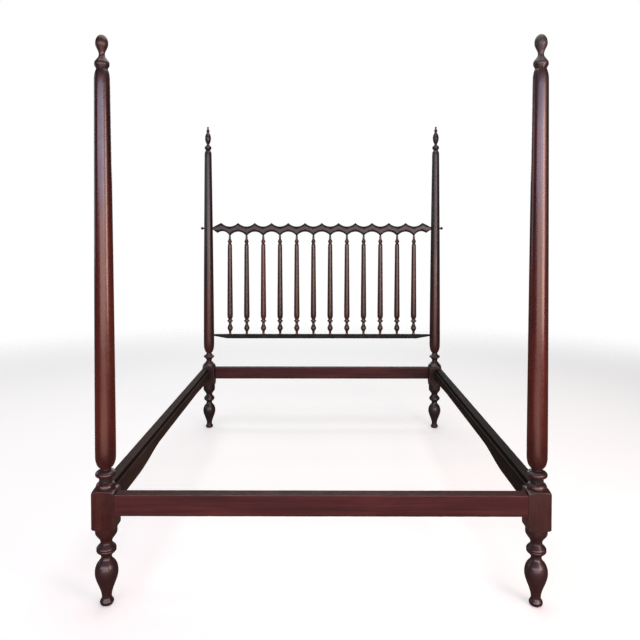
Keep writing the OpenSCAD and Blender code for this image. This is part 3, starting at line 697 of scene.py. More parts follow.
def make_post(end, side, shape, tone, seed):
    node = f"{end}_post_{side}"
    low, high = box_mm(node)
    axis_x, axis_y = (low[:2] + high[:2]) / 2
    inward_x = -math.copysign(1, axis_x)
    inward_y = -math.copysign(1, axis_y)
    mesh = as_mesh(node, shape, (axis_x, axis_y, 0), depth=0.08, bites=0.5, seed=seed)
    cutters = mortises(axis_x, axis_y, inward_x, inward_y)
    if end == "head":
        pin_start = (axis_x - 2 * BLOCK_HALF, axis_y, pin_level())
        cutters.append(rod_cutter(pin_start, 0, 4 * BLOCK_HALF, PIN_D + 2 * RUNNING_GAP))
        low_rail_high = box_mm("headboard_bottom_rail")[1]
        hole_end_x = (low_rail_high[0] + END_GAP) * -inward_x
        hole_l = 2 * BLOCK_HALF
        start_x = hole_end_x if inward_x > 0 else hole_end_x - hole_l
        start = (start_x, axis_y, low_rail_high[2] - LOW_RAIL_END / 2)
        cutters.append(rod_cutter(start, 0, hole_l, LOW_TENON_D + 2 * TENON_GAP))
    place_piece(node, carve(mesh, cutters), f"{end}_post_wood", 2, tone, POST_TONES[end])


def make_posts():
    """The four posts. The old finish on the right-hand ones is a little less red."""
    foot = post_shape(FOOT_CUP, FOOT_BLOCK, FOOT_TURNING, FOOT_DOWEL_D)
    head = post_shape(HEAD_CUP, HEAD_BLOCK, HEAD_TURNING, HEAD_DOWEL_D)
    for end, shape, first_seed in (("foot", foot, 1), ("head", head, 3)):
        make_post(end, "left", shape, 0.85, first_seed)
        make_post(end, "right", shape, 0.72, first_seed + 1)


def place_turned(node, shape, zero_up, slot, tone, depth, seed):
    """Places a turned shape on its node's axis, its zero level this far above the node's foot."""
    low, high = box_mm(node)
    middle = (low + high) / 2
    place = (middle[0], middle[1], low[2] + zero_up)
    mesh = as_mesh(node, shape, place, depth=depth, bites=0.3, seed=seed)
    place_piece(node, mesh, slot, 2, tone)


def make_finials():
    """The four finials. The right-hand ones have gone grey with dust."""
    for end, rows, dowel_d in (("foot", PEAR, FOOT_DOWEL_D), ("head", URN, HEAD_DOWEL_D)):
        collar_r, dowel_r = rows[0][1] / 2, dowel_d / 2
        chamfer = 1.2
        dowel = fit_part([
            (1, -DOWEL_L),
            (dowel_r - chamfer, -DOWEL_L),
            (dowel_r, -DOWEL_L + chamfer),
            (dowel_r, 0),
            (collar_r - 0.9, 0),
        ])
        outline = worn_outline(rows, (collar_r, 0.0), ease=0.5, gap=6)
        shape = turned_shape([dowel, open_part(outline)], segments=72)
        for i, (side, tone) in enumerate((("left", 0.7), ("right", 0.05))):
            node = f"{end}_finial_{side}"
            place_turned(node, shape, DOWEL_L, f"{end}_finial_wood", tone, depth=0.08, seed=20 + i)


# How red each spindle is, from the left: the old finish has darkened some more than others
SPINDLE_TONES = [0.55, 0.35, 0.85, 0.45, 0.8, 0.55, 0.45, 0.65, 0.5, 0.6, 0.4, 0.5]


def make_spindles():
    tenon_r = SPINDLE_TENON_D / 2
    chamfer = 0.6
    fixed_h = sum(row[2] for row in SPINDLE_LOW + SPINDLE_HIGH) + SPINDLE_UPPER_NECK_H
    low_tenon = fit_part([
        (0.8, -SPINDLE_LOW_TENON_L),
        (tenon_r - chamfer, -SPINDLE_LOW_TENON_L),
        (tenon_r, -SPINDLE_LOW_TENON_L + chamfer),
        (tenon_r, -0.05),
        (SPINDLE_FOOT_D / 2 - 0.5, 0),
    ])
    for i, tone in enumerate(SPINDLE_TONES, 1):
        node = f"spindle_{i:02d}"
        low, high = box_mm(node)
        shaft_l = high[2] - low[2] - SPINDLE_LOW_TENON_L - SPINDLE_TOP_TENON_L - fixed_h
        rows = SPINDLE_LOW + [("line", SPINDLE_TOP_D, shaft_l)] + SPINDLE_HIGH
        rows = rows + [("line", SPINDLE_UPPER_NECK_D, SPINDLE_UPPER_NECK_H - 0.6)]
        outline = worn_outline(rows, (SPINDLE_FOOT_D / 2, 0.3), ease=0.45, gap=14)
        top_z = outline[0][-1][1]
        root_z, tip_z = top_z + 0.2, top_z + SPINDLE_TOP_TENON_L
        top_tenon = fit_part([(tenon_r + 0.4, root_z), (tenon_r, root_z), (tenon_r, tip_z), (0.8, tip_z)])
        shape = turned_shape([low_tenon, open_part(outline), top_tenon], segments=44)
        place_turned(node, shape, SPINDLE_LOW_TENON_L, "spindle_wood", tone, depth=0.12, seed=40 + i)


def make_pins():
    shank_r, ball_r = PIN_D / 2, PIN_BALL_D / 2
    neck_turn = math.asin(shank_r / ball_r)
    for side, sign in (("left", -1), ("right", 1)):
        node = f"headboard_pin_{side}"
        low, high = box_mm(node)
        ball_z = high[0] - low[0] - ball_r
        turns = np.linspace(math.pi - neck_turn, 0.04, 26)
        ball = np.column_stack([ball_r * np.sin(turns), ball_z + ball_r * np.cos(turns)])
        shank = fit_part([(0.8, 0), (shank_r - 1, 0), (shank_r, 3), (shank_r, ball[0][1] - 0.4)])
        ball_part = (ball, np.full(len(ball), 0.2), np.zeros(len(ball)), np.zeros(len(ball)))
        shape = turned_shape([shank, ball_part], segments=48)
        axis = Matrix.Rotation(math.radians(90 * sign), 4, "Y")
        tip_x = low[0] if sign > 0 else high[0]
        place = (tip_x, (low[1] + high[1]) / 2, (low[2] + high[2]) / 2)
        place_piece(node, as_mesh(node, shape, place, rotation=axis, seed=60), "pin_wood", 0)


# --- rails ---


def stations_with_eased_ends(half_l, gap, ease=0.9):
    """Stations along a rail from end to end, and how far the section is drawn in at each."""
    inner = np.linspace(-half_l + 8, half_l - 8, int(2 * half_l / gap))
    ends = np.array([0, 0.25, 0.6, 1.0, 3.0])
    along = np.concatenate([-half_l + ends * ease, inner, (half_l - ends * ease)[::-1]])
    drawn = ease * (1 - np.sqrt(np.clip(1 - (1 - np.clip(ends, 0, 1)) ** 2, 0, 1)))
    return along, np.concatenate([drawn, np.zeros(len(inner)), drawn[::-1]])


def rectangles(drawn, sides, levels):
    """A rail's four corners at every station, from its two sides and two levels, drawn in at its ends."""
    grid = np.zeros((len(drawn), 4, 2))
    for i, (side, level) in enumerate([(0, 0), (1, 0), (1, 1), (0, 1)]):
        grid[:, i, 0] = sides[side] - (2 * side - 1) * drawn
        grid[:, i, 1] = levels[level] - (2 * level - 1) * drawn
    return grid


def rail_surface(grid, along, axis, reach, edge_steps):
    """A rail's points along an axis, its corners rounded off, and marks that are highest on the corners.

    Both have a row for each station. grid holds stations, corners and the two places across the axis.
    """
    section = eased_ring(grid, reach, edge_steps)
    points = np.zeros(section.shape[:2] + (3,))
    points[..., axis] = along[:, None]
    points[..., [k for k in range(3) if k != axis]] = section
    corner = CORNER_WEAR + [0.0] * (edge_steps - 1)
    return points, np.tile(corner * grid.shape[1], (len(along), 1))


def end_marks(along, half_l, count, reach=5.0):
    """Dirt and painted shade where a rail meets its posts, for count points at every station."""
    return np.tile(np.clip(1 - (half_l - np.abs(along)) / reach, 0, 1)[:, None], (1, count))


def with_tenons(rings, squeezed, length, axis):
    """The rings with a tenon added at both ends, whose section is the end ring squeezed."""
    roots = [squeezed(rings[0]), squeezed(rings[-1])]
    tips = [root.copy() for root in roots]
    tips[0][:, axis] -= length
    tips[1][:, axis] += length
    return np.concatenate([[tips[0], roots[0]], rings, [roots[1], tips[1]]])


def rail_mesh(node, rings, wear, dirt_and_shade, **weathering):
    """A rail's mesh from its rings, the two at each end being its tenon's: unworn, painted dark as dirt and
    shade, and exact.
    """

    def pad(grid, value):
        row = np.full((2, grid.shape[1]), value)
        return np.concatenate([row, grid, row])

    shape = lofted(rings * MM, pad(wear, 0), pad(dirt_and_shade, 1), pad(np.zeros_like(wear), 1))
    return as_mesh(node, shape, **weathering)


def make_end_rail(node, seed):
    """A plain rail between two posts. The upper outer edge is worn broader than the others."""
    low, high = box_mm(node)
    half_l = high[0] - TENON_L
    along, drawn = stations_with_eased_ends(half_l, gap=14)
    grid = rectangles(drawn, *zip(low[1:], high[1:]))
    points, edges = rail_surface(grid, along, 0, reach=2.2, edge_steps=8)
    middle_y = (low[1] + high[1]) / 2
    tenon_low = [-np.inf, middle_y - TENON_T / 2, low[2] + TENON_SHOULDER]
    tenon_high = [np.inf, middle_y + TENON_T / 2, high[2] - TENON_SHOULDER]
    rings = with_tenons(points, lambda ring: np.clip(ring, tenon_low, tenon_high), TENON_L, 0)
    outward = points[..., 1] * math.copysign(1, middle_y)
    outer_top = (points[..., 2] > high[2] - 4) & (outward > abs(middle_y))
    wear = edges * np.where(outer_top, 1.0, 0.55)
    dirt_and_shade = end_marks(along, half_l, wear.shape[1])
    mesh = rail_mesh(node, rings, wear, dirt_and_shade, grain_axis=0, depth=0.45, bites=1.6, seed=seed)
    place_piece(node, mesh, "end_rail_wood", 0)


def side_rail_depth(along, half_l):
    """A side rail's depth on its way: deep at the foot, slim in the middle, less deep at the head."""

    def s_curve(start, length):
        share = np.clip((along - start) / length, 0, 1)
        return (1 - np.cos(math.pi * share)) / 2

    from_foot = s_curve(-half_l + SIDE_RAIL_FOOT_L, SIDE_RAIL_FOOT_CURVE_L)
    to_head = s_curve(half_l - SIDE_RAIL_HEAD_CURVE_L, SIDE_RAIL_HEAD_CURVE_L)
    depth = SIDE_RAIL_FOOT_H + (SIDE_RAIL_MID_H - SIDE_RAIL_FOOT_H) * from_foot
    return depth + (SIDE_RAIL_HEAD_H - SIDE_RAIL_MID_H) * to_head


def make_side_rail(node, tone, seed):
    """A side rail with its shaped underside and the rebate along its inner top edge."""
    low, high = box_mm(node)
    half_l = high[1] - TENON_L
    along, drawn = stations_with_eased_ends(half_l, gap=16)
    top_z = high[2]
    inward = -math.copysign(1, low[0])
    outer_x = low[0] if inward > 0 else high[0]
    rail_t = high[0] - low[0]
    under_z = top_z - side_rail_depth(along, half_l)
    # The corners: distance in from the rail's outer face, level, and which way each one faces
    corners = [
        (0, under_z, -1, -1),
        (rail_t, under_z, 1, -1),
        (rail_t, top_z - REBATE_DEPTH, 1, 1),
        (rail_t - REBATE_W, top_z - REBATE_DEPTH, 1, 1),
        (rail_t - REBATE_W, top_z, 1, 1),
        (0, top_z, -1, 1),
    ]
    grid = np.zeros((len(along), len(corners), 2))
    for i, (across, level, faces_in, faces_up) in enumerate(corners):
        grid[:, i, 0] = outer_x + inward * (across - faces_in * drawn)
        grid[:, i, 1] = level - faces_up * drawn
    edge_steps = 7
    points, edges = rail_surface(grid, along, 1, reach=2.0, edge_steps=edge_steps)
    middle_x = (low[0] + high[0]) / 2
    tenon_low = [middle_x - TENON_T / 2, -np.inf, top_z - SIDE_RAIL_HEAD_H + TENON_SHOULDER]
    tenon_high = [middle_x + TENON_T / 2, np.inf, top_z - TENON_SHOULDER]
    rings = with_tenons(points, lambda ring: np.clip(ring, tenon_low, tenon_high), TENON_L, 1)
    # The ring's columns: for every corner its own five points and the six of the edge after it. The
    # ledge's edge is worn most, and the ledge and its wall are painted dark, as the shade in the rebate
    # and what has fallen in.
    corner_l = len(CORNER_WEAR)
    per_corner = corner_l + edge_steps - 1
    wear = edges * 0.7
    wear[:, 3 * per_corner : 4 * per_corner] = 0
    wear[:, 2 * per_corner : 2 * per_corner + corner_l] *= 1.4
    dirt_and_shade = end_marks(along, half_l, wear.shape[1])
    dirt_and_shade[:, 2 * per_corner + corner_l + 1 : 4 * per_corner] = 1.0
    mesh = rail_mesh(node, rings, wear, dirt_and_shade, grain_axis=1, depth=0.45, bites=1.4, seed=seed)
    place_piece(node, mesh, "side_rail_wood", 1, tone)


def arc_points(start, end, height, steps=24):
    """Points on an arc from start to end that rises by height between them."""
    start, end = np.array(start, float), np.array(end, float)
    chord = np.linalg.norm(end - start)
    along = (end - start) / chord
    left = np.array([-along[1], along[0]])
    radius = (chord**2 / 4 + height**2) / (2 * abs(height))
    half_turn = math.asin(chord / 2 / radius)
    turns = half_turn * np.linspace(-1, 1, steps + 1)
    rise = math.copysign(1, height) * radius * (np.cos(turns) - math.cos(half_turn))
    return start + along * (chord / 2 + radius * np.sin(turns))[:, None] + left * rise[:, None]


def scalloped_edges(spindle_xs, half_l, pin_z):
    """The top rail's lower and upper edges, each as points from left to right."""
    pitch = spindle_xs[1] - spindle_xs[0]
    point_z = pin_z - POINT_DEPTH
    peak_z = pin_z + PEAK_H
    last_x = spindle_xs[-1]
    end_point = (last_x + END_POINT_REACH, pin_z - END_POINT_DEPTH)
    under = [np.array([(-half_l, pin_z - TOP_RAIL_END_H / 2)])]
    under.append(arc_points((-end_point[0], end_point[1]), (-last_x, point_z), END_ARCH_RISE))
    for a, b in zip(spindle_xs, spindle_xs[1:]):
        under.append(arc_points((a, point_z), (b, point_z), ARCH_RISE))
    under.append(arc_points((last_x, point_z), end_point, END_ARCH_RISE))
    under.append(np.array([(half_l, pin_z - TOP_RAIL_END_H / 2)]))
    over = [np.array([(-half_l, pin_z + TOP_RAIL_END_H / 2)])]
    for x in spindle_xs:
        over.append(arc_points((x - pitch / 2, peak_z), (x + pitch / 2, peak_z), -HOLLOW_DEPTH))
    over.append(np.array([(half_l, pin_z + TOP_RAIL_END_H / 2)]))
    return np.concatenate(under), np.concatenate(over)


def spindle_holes(spindle_xs, y, start_z, length):
    """Rods for the spindles' round tenons, upwards from a level."""
    hole_d = SPINDLE_TENON_D + 2 * TENON_GAP
    return [rod_cutter((x, y, start_z), 2, length, hole_d, sides=32) for x in spindle_xs]


def make_top_rail(spindle_xs):
    """The headboard's upper rail, scalloped above and arched below. The pins go into its ends."""
    node = "headboard_top_rail"
    low, high = box_mm(node)
    pin_z = pin_level()
    half_l = high[0]
    spacing = 0.5
    softness = 1.1 / spacing
    fine = np.linspace(-half_l, half_l, int(2 * half_l / spacing) + 1)
    pitch = spindle_xs[1] - spindle_xs[0]
    # Stations stand closer at the peaks and the points
    within = np.concatenate([[0.0, 0.02, 0.045, 0.09], np.arange(0.15, 0.86, 0.07), [0.91, 0.955, 0.98]])
    reach = (len(spindle_xs) + 1) / 2
    halves = np.arange(-reach, reach, 0.5) * pitch
    places = [x + share * pitch / 2 for x in halves for share in within]
    places = np.array([p for p in places if abs(p) < half_l - 6])
    ends = np.array([0, 0.3, 0.8, 2, 5])
    extra = spindle_xs[-1] + END_POINT_REACH + np.array([-3, -1.5, 0, 1.5, 3])
    places = np.concatenate([-half_l + ends, places, extra, -extra, half_l - ends])
    along = np.unique(np.round(places, 3))
    under_z, over_z = [
        np.interp(along, fine, blurred(np.interp(fine, edge[:, 0], edge[:, 1])[:, None], softness)[:, 0])
        for edge in scalloped_edges(spindle_xs, half_l, pin_z)
    ]
    ease = 0.8
    drawn = ease * np.clip(1 - (half_l - np.abs(along)) / ease, 0, 1)
    grid = rectangles(drawn, (low[1], high[1]), (under_z, over_z))
    points, edges = rail_surface(grid, along, 0, reach=3.2, edge_steps=5)
    tip_h = 6
    tips = np.clip((over_z - pin_z - PEAK_H + tip_h) / tip_h, 0, 1)[:, None] * (points[..., 2] > pin_z)
    # The shaped edges are painted darker than the flat faces between them, as shade, and duller
    painted_edge_shade = np.tile([1.0] * len(CORNER_WEAR) + [0.8, 0.0, 0.0, 0.8], 4)
    dirt_and_shade = np.maximum(end_marks(along, half_l, edges.shape[1], reach=4), painted_edge_shade)
    shape = lofted(points * MM, 0.7 * tips, dirt_and_shade, np.zeros_like(edges))
    mesh = as_mesh(node, shape, grain_axis=0, depth=0.3, bites=1.2, seed=71)
    middle_y = (low[1] + high[1]) / 2
    start_z = pin_z - POINT_DEPTH - CUT_OVER
    cutters = spindle_holes(spindle_xs, middle_y, start_z, SPINDLE_TOP_TENON_L + END_GAP + CUT_OVER)
    bore_l = PIN_IN_RAIL_L + END_GAP
    for start_x in (-half_l - CUT_OVER, half_l - bore_l):
        start = (start_x, middle_y, pin_z)
        cutters.append(rod_cutter(start, 0, bore_l + CUT_OVER, PIN_D + 2 * RUNNING_GAP))
    place_piece(node, carve(mesh, cutters), "headboard_wood", 0)


def make_bottom_rail(spindle_xs):
    """The headboard's lower rail, thinned towards both posts and ending in round tenons."""
    node = "headboard_bottom_rail"
    low, high = box_mm(node)
    half_l = high[0] - LOW_TENON_L
    along, drawn = stations_with_eased_ends(half_l, gap=14, ease=0.6)
    thin = np.clip((np.abs(along) - (half_l - LOW_RAIL_TAPER_L)) / LOW_RAIL_TAPER_L, 0, 1)
    height = (high[2] - low[2]) + (LOW_RAIL_END - (high[2] - low[2])) * thin
    thickness = (high[1] - low[1]) + (LOW_RAIL_END - (high[1] - low[1])) * thin
    middle_y = (low[1] + high[1]) / 2
    sides = (middle_y - thickness / 2, middle_y + thickness / 2)
    grid = rectangles(drawn, sides, (high[2] - height, high[2]))
    points, edges = rail_surface(grid, along, 0, reach=3.0, edge_steps=6)
    tenon_axis = np.array([middle_y, high[2] - LOW_RAIL_END / 2])

    def rounded(ring):
        away = ring[:, 1:] - tenon_axis
        away = away / np.linalg.norm(away, axis=1)[:, None] * (LOW_TENON_D / 2)
        return np.column_stack([ring[:, 0], tenon_axis + away])

    rings = with_tenons(points, rounded, LOW_TENON_L, 0)
    wear = edges * 0.6
    # Darker and duller all over than the rail above
    dirt_and_shade = np.maximum(end_marks(along, half_l, wear.shape[1], reach=4), 0.85)
    mesh = rail_mesh(node, rings, wear, dirt_and_shade, grain_axis=0, depth=0.3, bites=1.2, seed=72)
    hole_l = SPINDLE_LOW_TENON_L + END_GAP
    cutters = spindle_holes(spindle_xs, middle_y, high[2] - hole_l, hole_l + CUT_OVER)
    place_piece(node, carve(mesh, cutters), "headboard_wood", 0)


# --- materials ---


def colour(text):
    """A linear colour from its usual six-digit form."""
    values = [int(text[i : i + 2], 16) / 255 for i in (1, 3, 5)]
    return tuple(v / 12.92 if v <= 0.04045 else ((v + 0.055) / 1.055) ** 2.4 for v in values) + (1.0,)


class Graph:
    """Short ways to add and join the nodes of a material or a world."""

    def __init__(self, owner):
        owner.use_nodes = True
        self.tree = owner.node_tree
        self.tree.nodes.clear()

    def node(self, kind, **settings):
        made = self.tree.nodes.new("ShaderNode" + kind)
        for name, value in settings.items():
            setattr(made, name, value)
        return made

    def put(self, socket, value):
        if isinstance(value, bpy.types.NodeSocket):
            self.tree.links.new(value, socket)
        else:
            socket.default_value = value

    def fed(self, made, *values):
        """The node with its first inputs given these values."""
        for socket, value in zip(made.inputs, values):
            self.put(socket, value)
        return made

    def mark(self, name, output="Fac"):
        return self.node("Attribute", attribute_name=name).outputs[output]

    def cloud(self, vector, scale, detail=3.0, roughness=0.55, distortion=0.0):
        made = self.node("TexNoise")
        stretched = self.fed(self.node("VectorMath", operation="MULTIPLY"), vector, scale)
        self.put(made.inputs["Vector"], stretched.outputs[0])
        made.inputs["Scale"].default_value = 1.0
        made.inputs["Detail"].default_value = detail
        made.inputs["Roughness"].default_value = roughness
        made.inputs["Distortion"].default_value = distortion
        return made.outputs["Fac"]

    def math(self, operation, *values):
        return self.fed(self.node("Math", operation=operation), *values).outputs[0]

    def plus(self, a, b):
        return self.math("ADD", a, b)

    def times(self, a, b):
        return self.math("MULTIPLY", a, b)

    def scaled(self, value, factor, added):
        return self.math("MULTIPLY_ADD", value, factor, added)

    def between(self, value, low, high, to_low=0.0, to_high=1.0):
        made = self.node("MapRange", interpolation_type="SMOOTHSTEP")
        return self.fed(made, value, low, high, to_low, to_high).outputs[0]

    def blend(self, share, a, b):
        made = self.node("Mix", data_type="RGBA")
        self.put(made.inputs[0], share)
        self.put(made.inputs[6], a)
        self.put(made.inputs[7], b)
        return made.outputs[2]

    def ramp(self, value, stops):
        made = self.node("ValToRGB")
        elements = made.color_ramp.elements
        while len(elements) < len(stops):
            elements.new(0.5)
        for element, (place, shade) in zip(elements, stops):
            element.position = place
            element.color = shade
        return self.fed(made, value).outputs[0]

    def xyz(self, vector):
        return self.fed(self.node("SeparateXYZ"), vector).outputs

    def glow(self, kind, tint, strength):
        """An even light: an Emission or a Background."""
        return self.fed(self.node(kind), (*tint, 1), strength).outputs[0]

    def mixed(self, share, a, b):
        return self.fed(self.node("MixShader"), share, a, b).outputs[0]

    def finish(self, kind, surface):
        self.put(self.node("Output" + kind).inputs["Surface"], surface)


# Every finish has a row of colours and a row of numbers: the wood from its darkest to its lightest, the
# red and the sooty end of its tone, the rubbed wood of worn edges, the dark of dirt and painted shade in
# hollows and the dust on what faces up; then how dusty and how rubbed it is, the gloss of the varnish,
# and whether it was turned
COLOUR_NAMES = ("deep", "mid", "light", "warm", "sooty", "worn", "grime_and_shade", "dust")
NUMBER_NAMES = ("dusty", "rubbed", "rough", "specular", "coat", "coat_rough", "turned")
FINISHES = {
    "foot_post_wood": (
        ("#280a08", "#36100d", "#481c16", "#501a10", "#1f0e12", "#6b4238", "#120807", "#3d3231"),
        (0.2, 0.35, 0.24, 0.55, 0.55, 0.16, True),
    ),
    "head_post_wood": (
        ("#130a09", "#211311", "#33201c", "#421a15", "#141112", "#4d3f3b", "#080605", "#3a3434"),
        (0.25, 0.4, 0.28, 0.55, 0.45, 0.24, True),
    ),
    "foot_finial_wood": (
        ("#1d0f0d", "#2e1a17", "#44291f", "#3c1b15", "#2e2c2e", "#66544a", "#0f0807", "#4a4240"),
        (0.3, 0.45, 0.32, 0.5, 0.35, 0.26, True),
    ),
    "head_finial_wood": (
        ("#0e0908", "#19110f", "#2a1d1a", "#2c1814", "#110f10", "#4d3f3b", "#080605", "#3f3a3a"),
        (0.3, 0.4, 0.32, 0.5, 0.35, 0.26, True),
    ),
    "end_rail_wood": (
        ("#2b1113", "#3c171a", "#4d2322", "#481c19", "#2d1517", "#8c5f57", "#150b0b", "#3a2118"),
        (0.5, 0.8, 0.42, 0.22, 0.05, 0.3, False),
    ),
    "side_rail_wood": (
        ("#211714", "#2f231e", "#40332d", "#3a2922", "#0c0706", "#5f4f48", "#080504", "#40342d"),
        (0.35, 0.7, 0.5, 0.15, 0.0, 0.35, False),
    ),
    "headboard_wood": (
        ("#0d0a0a", "#161112", "#251c1b", "#241616", "#111011", "#3a3030", "#020202", "#3d3737"),
        (0.2, 0.35, 0.26, 0.5, 0.0, 0.24, False),
    ),
    "spindle_wood": (
        ("#1c0f0c", "#301d18", "#472d26", "#4c2820", "#1d1514", "#4d3f3b", "#080605", "#3a3434"),
        (0.15, 0.3, 0.3, 0.55, 0.6, 0.24, True),
    ),
    "pin_wood": (
        ("#0d0909", "#161010", "#241b19", "#251613", "#100e0f", "#463b38", "#070505", "#383434"),
        (0.25, 0.4, 0.34, 0.45, 0.2, 0.24, True),
    ),
}


def old_wood(name, colours, numbers):
    """An aged, varnished mahogany: grain along the piece, uneven colour, wear, grime and painted shade,
    dust and gloss.
    """
    look = dict(zip(COLOUR_NAMES, map(colour, colours)))
    look.update(zip(NUMBER_NAMES, numbers))
    material = bpy.data.materials.new(name)
    g = Graph(material)
    grain = g.mark("grain", "Vector")
    wear, dirt_and_shade, tone = g.mark("wear"), g.mark("dirt_and_shade"), g.mark("tone")

    # The figure: fine fibres, long streaks and broad patches, all drawn out along the grain
    fibres = g.cloud(grain, (330, 330, 9), detail=3)
    streaks = g.cloud(grain, (70, 70, 2.0), detail=4, distortion=0.6)
    patches = g.cloud(grain, (13, 13, 3.2), detail=3)
    figure = g.plus(g.times(streaks, 0.46), g.times(patches, 0.36))
    figure = g.plus(figure, g.times(fibres, 0.18))
    wood = g.ramp(figure, [(0.36, look["deep"]), (0.5, look["mid"]), (0.66, look["light"])])
    lean = g.plus(tone, g.scaled(patches, 0.6, -0.3))
    wood = g.blend(g.between(lean, 0.45, 0.95, 0.0, 0.7), wood, look["warm"])
    wood = g.blend(g.between(lean, 0.5, 0.05, 0.0, 0.7), wood, look["sooty"])

    # Thin long pores, darker than the wood
    pores = g.between(g.cloud(grain, (900, 900, 22), detail=1), 0.64, 0.72)
    wood = g.blend(g.times(pores, 0.35), wood, look["deep"])

    # Rubbed edges, dirt and painted shade in the hollows, and dust on what faces up
    rubbed = g.cloud(grain, (60, 60, 22), detail=4, roughness=0.65)
    wear_share = g.between(g.plus(wear, g.scaled(rubbed, 0.8, -0.4)), 0.55, 1.15)
    wood = g.blend(g.times(wear_share, look["rubbed"]), wood, look["worn"])
    smudge = g.cloud(grain, (34, 34, 30), detail=4, roughness=0.6)
    dirt_and_shade_share = g.between(g.plus(dirt_and_shade, g.scaled(smudge, 0.8, -0.4)), 0.3, 0.95)
    wood = g.blend(g.times(dirt_and_shade_share, 0.85), wood, look["grime_and_shade"])
    up = g.between(g.xyz(g.node("NewGeometry").outputs["Normal"])["Z"], 0.3, 0.95)
    settled = g.times(up, g.between(smudge, 0.3, 0.7, 0.55, 1.0))
    settled = g.times(settled, g.between(tone, 0.0, 0.5, 0.35, 1.0))
    settled = g.times(settled, g.scaled(dirt_and_shade_share, -0.9, 1.0))
    dust_share = g.times(settled, look["dusty"])
    wood = g.blend(dust_share, wood, look["dust"])

    shader = g.node("BsdfPrincipled")
    g.put(shader.inputs["Base Color"], wood)
    rough = look["rough"] - 0.12
    layers = [(smudge, 0.24), (fibres, 0.08), (wear_share, 0.12), (dirt_and_shade_share, 0.5), (dust_share, 0.4)]
    for layer, factor in layers:
        rough = g.scaled(layer, factor, rough)
    if look["turned"]:
        rough = g.scaled(g.between(tone, 0.4, 0.1), 0.2, rough)
    g.put(shader.inputs["Roughness"], rough)
    shader.inputs["Specular IOR Level"].default_value = look["specular"]
    shader.inputs["Coat Weight"].default_value = look["coat"]
    shader.inputs["Coat Roughness"].default_value = look["coat_rough"]

    relief = g.scaled(fibres, 0.35, g.times(pores, -0.5))
    relief = g.scaled(g.cloud(grain, (420, 420, 420), detail=2), 0.1, relief)
    relief = g.scaled(g.cloud(grain, (70, 70, 12), detail=2), 0.7, relief)
    if look["turned"]:
        # The tool's marks round the wood
        relief = g.scaled(g.cloud(grain, (3, 3, 620), detail=2), 0.1, relief)
    bump = g.node("Bump")
    bump.inputs["Strength"].default_value = 0.2 if look["turned"] else 0.4
    bump.inputs["Distance"].default_value = 0.0003
    g.put(bump.inputs["Height"], relief)
    g.put(shader.inputs["Normal"], bump.outputs[0])
    g.finish("Material", shader.outputs[0])
    return material


materials = {slot: old_wood(slot, *rows) for slot, rows in FINISHES.items()}


# --- stage ---

FLOOR_R = 6.0


def make_floor():
    """A plain pale round floor whose rim fades into the white surroundings."""
    mesh = bpy.data.meshes.new("floor")
    work = bmesh.new()
    bmesh.ops.create_circle(work, cap_ends=True, radius=FLOOR_R, segments=96)
    work.to_mesh(mesh)
    work.free()
    floor = add_object("floor", mesh)
    material = bpy.data.materials.new("pale_floor")
    g = Graph(material)
    place = g.node("TexCoord").outputs["Object"]
    away = g.fed(g.node("VectorMath", operation="LENGTH"), place).outputs["Value"]
    shader = g.node("BsdfPrincipled")
    speckle = g.cloud(place, (40, 40, 40), detail=4)
    tint = g.blend(g.between(speckle, 0.3, 0.7), (0.84, 0.84, 0.83, 1), (0.88, 0.88, 0.87, 1))
    g.put(shader.inputs["Base Color"], tint)
    shader.inputs["Roughness"].default_value = 0.85
    shader.inputs["Specular IOR Level"].default_value = 0.2
    shader.inputs["Emission Color"].default_value = (1, 1, 1, 1)
    shader.inputs["Emission Strength"].default_value = 0.3
    # In the object's gloss the floor is dim, or it would veil the dark wood, but for a warm patch
    # some way before the bed
    spot = g.xyz(place)
    beside = g.math("ABSOLUTE", g.plus(spot["X"], 0.5))
    patch = g.times(g.between(beside, 1.9, 1.2), g.between(spot["Y"], -2.1, -2.8))
    reflected = g.glow("Emission", (1.0, 0.58, 0.44), g.scaled(patch, 1.6, 0.13))
    ground = g.mixed(g.node("LightPath").outputs["Is Glossy Ray"], shader.outputs[0], reflected)
    rim = g.between(away, FLOOR_R * 0.55, FLOOR_R * 0.98)
    g.finish("Material", g.mixed(rim, ground, g.node("BsdfTransparent").outputs[0]))
    mesh.materials.append(material)


def make_world():
    """White to look at, a soft grey light on the object, and nearly dark in its gloss."""
    world = bpy.data.worlds.new("studio")
    bpy.context.scene.world = world
    g = Graph(world)
    path = g.node("LightPath").outputs
    seen = g.glow("Background", (1, 1, 1), 1.0)
    glossy = g.glow("Background", (0.9, 0.92, 1.0), 0.05)
    ambient = g.glow("Background", (0.95, 0.97, 1.0), 0.14)
    light = g.mixed(path["Is Glossy Ray"], ambient, glossy)
    g.finish("World", g.mixed(path["Is Camera Ray"], light, seen))


def softbox(name, place, aim, width, height, power, tint):
    """A soft rectangular light at a place, turned towards a point."""
    light = bpy.data.lights.new(name, "AREA")
    light.shape = "RECTANGLE"
    light.size = width
    light.size_y = height
    light.energy = power
    light.color = tint
    lamp = add_object(name, light)
    lamp.location = place
    lamp.rotation_euler = (Vector(aim) - Vector(place)).to_track_quat("-Z", "Y").to_euler()
    lamp.visible_camera = False


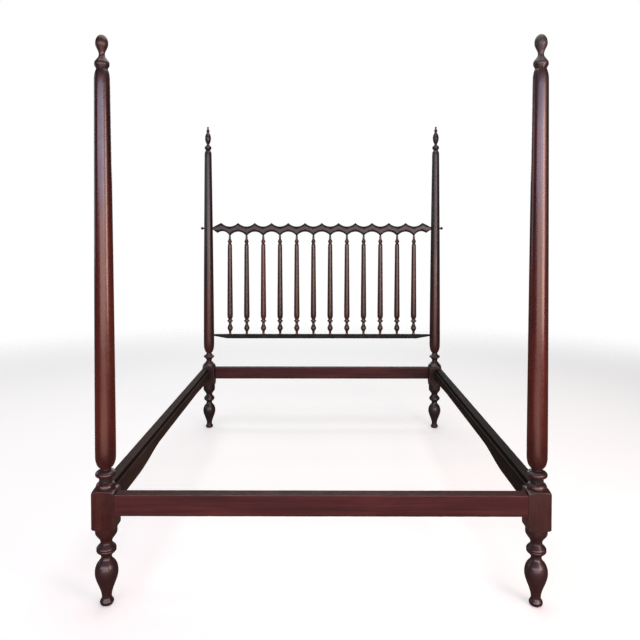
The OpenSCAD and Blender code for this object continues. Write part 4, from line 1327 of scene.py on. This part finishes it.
def make_lights():
    """Broad soft light from the room's front, and a few windows that streak the varnish."""
    softbox("upper_front", (-1.4, -6.2, 2.55), (-0.9, 0, 1.9), 11.0, 1.5, 235, (0.80, 0.75, 1.0))
    softbox("lower_front", (0.2, -6.2, 0.95), (0.2, 0, 0.9), 7.0, 1.7, 125, (1.0, 0.66, 0.54))
    softbox("right_wall", (5.2, -3.6, 2.0), (0.7, -1.0, 1.3), 3.2, 2.0, 16, (1.0, 0.80, 0.72))
    softbox("window_behind_camera", (1.3, -6.1, 2.2), (0, -1, 1.3), 1.8, 1.4, 15, (0.88, 0.86, 1.0))
    softbox("near_side_window", (2.05, -2.8, 1.45), (0, -0.98, 1.25), 1.1, 1.7, 48, (1.0, 0.64, 0.54))
    softbox("far_side_window", (-5.0, 1.5, 2.2), (0, 0.4, 0.9), 2.4, 2.6, 22, (0.92, 0.95, 1.0))
    softbox("ceiling", (0, 0.2, 4.6), (0, 0, 0), 4.5, 5.0, 130, (1.0, 0.98, 0.95))
    softbox("behind", (-0.2, 6.5, 3.2), (0, 0.6, 0.9), 4.5, 2.2, 75, (0.95, 0.97, 1.0))


PHOTO_SIDE = 640
FOCAL_PIXELS = 641
CENTRE_ROW = 250
CAMERA_PLACE = (0.005, -3.1175, 1.259)
CAMERA_PITCH = 1.60
CAMERA_YAW = -0.23


def make_camera():
    """The photo's view: 2.1 m before the foot posts and 1.26 m up, turned a little down and to the left."""
    camera = bpy.data.cameras.new("camera")
    camera.sensor_width = 36
    camera.lens = camera.sensor_width * FOCAL_PIXELS / PHOTO_SIDE
    camera.shift_y = (CENTRE_ROW - PHOTO_SIDE / 2) / PHOTO_SIDE
    view = add_object("camera", camera)
    view.location = CAMERA_PLACE
    view.rotation_euler = (math.radians(90 - CAMERA_PITCH), 0, math.radians(-CAMERA_YAW))
    bpy.context.scene.camera = view


make_posts()
make_finials()
make_spindles()
make_pins()
make_end_rail("foot_rail", 81)
make_end_rail("head_rail", 82)
make_side_rail("side_rail_left", 0.6, 83)
make_side_rail("side_rail_right", 0.0, 84)
spindle_boxes = [box_mm(f"spindle_{i + 1:02d}") for i in range(len(SPINDLE_TONES))]
spindle_places = [float(low[0] + high[0]) / 2 for low, high in spindle_boxes]
make_top_rail(spindle_places)
make_bottom_rail(spindle_places)

make_floor()
make_world()
make_lights()
make_camera()
bpy.context.scene.view_settings.view_transform = "Standard"
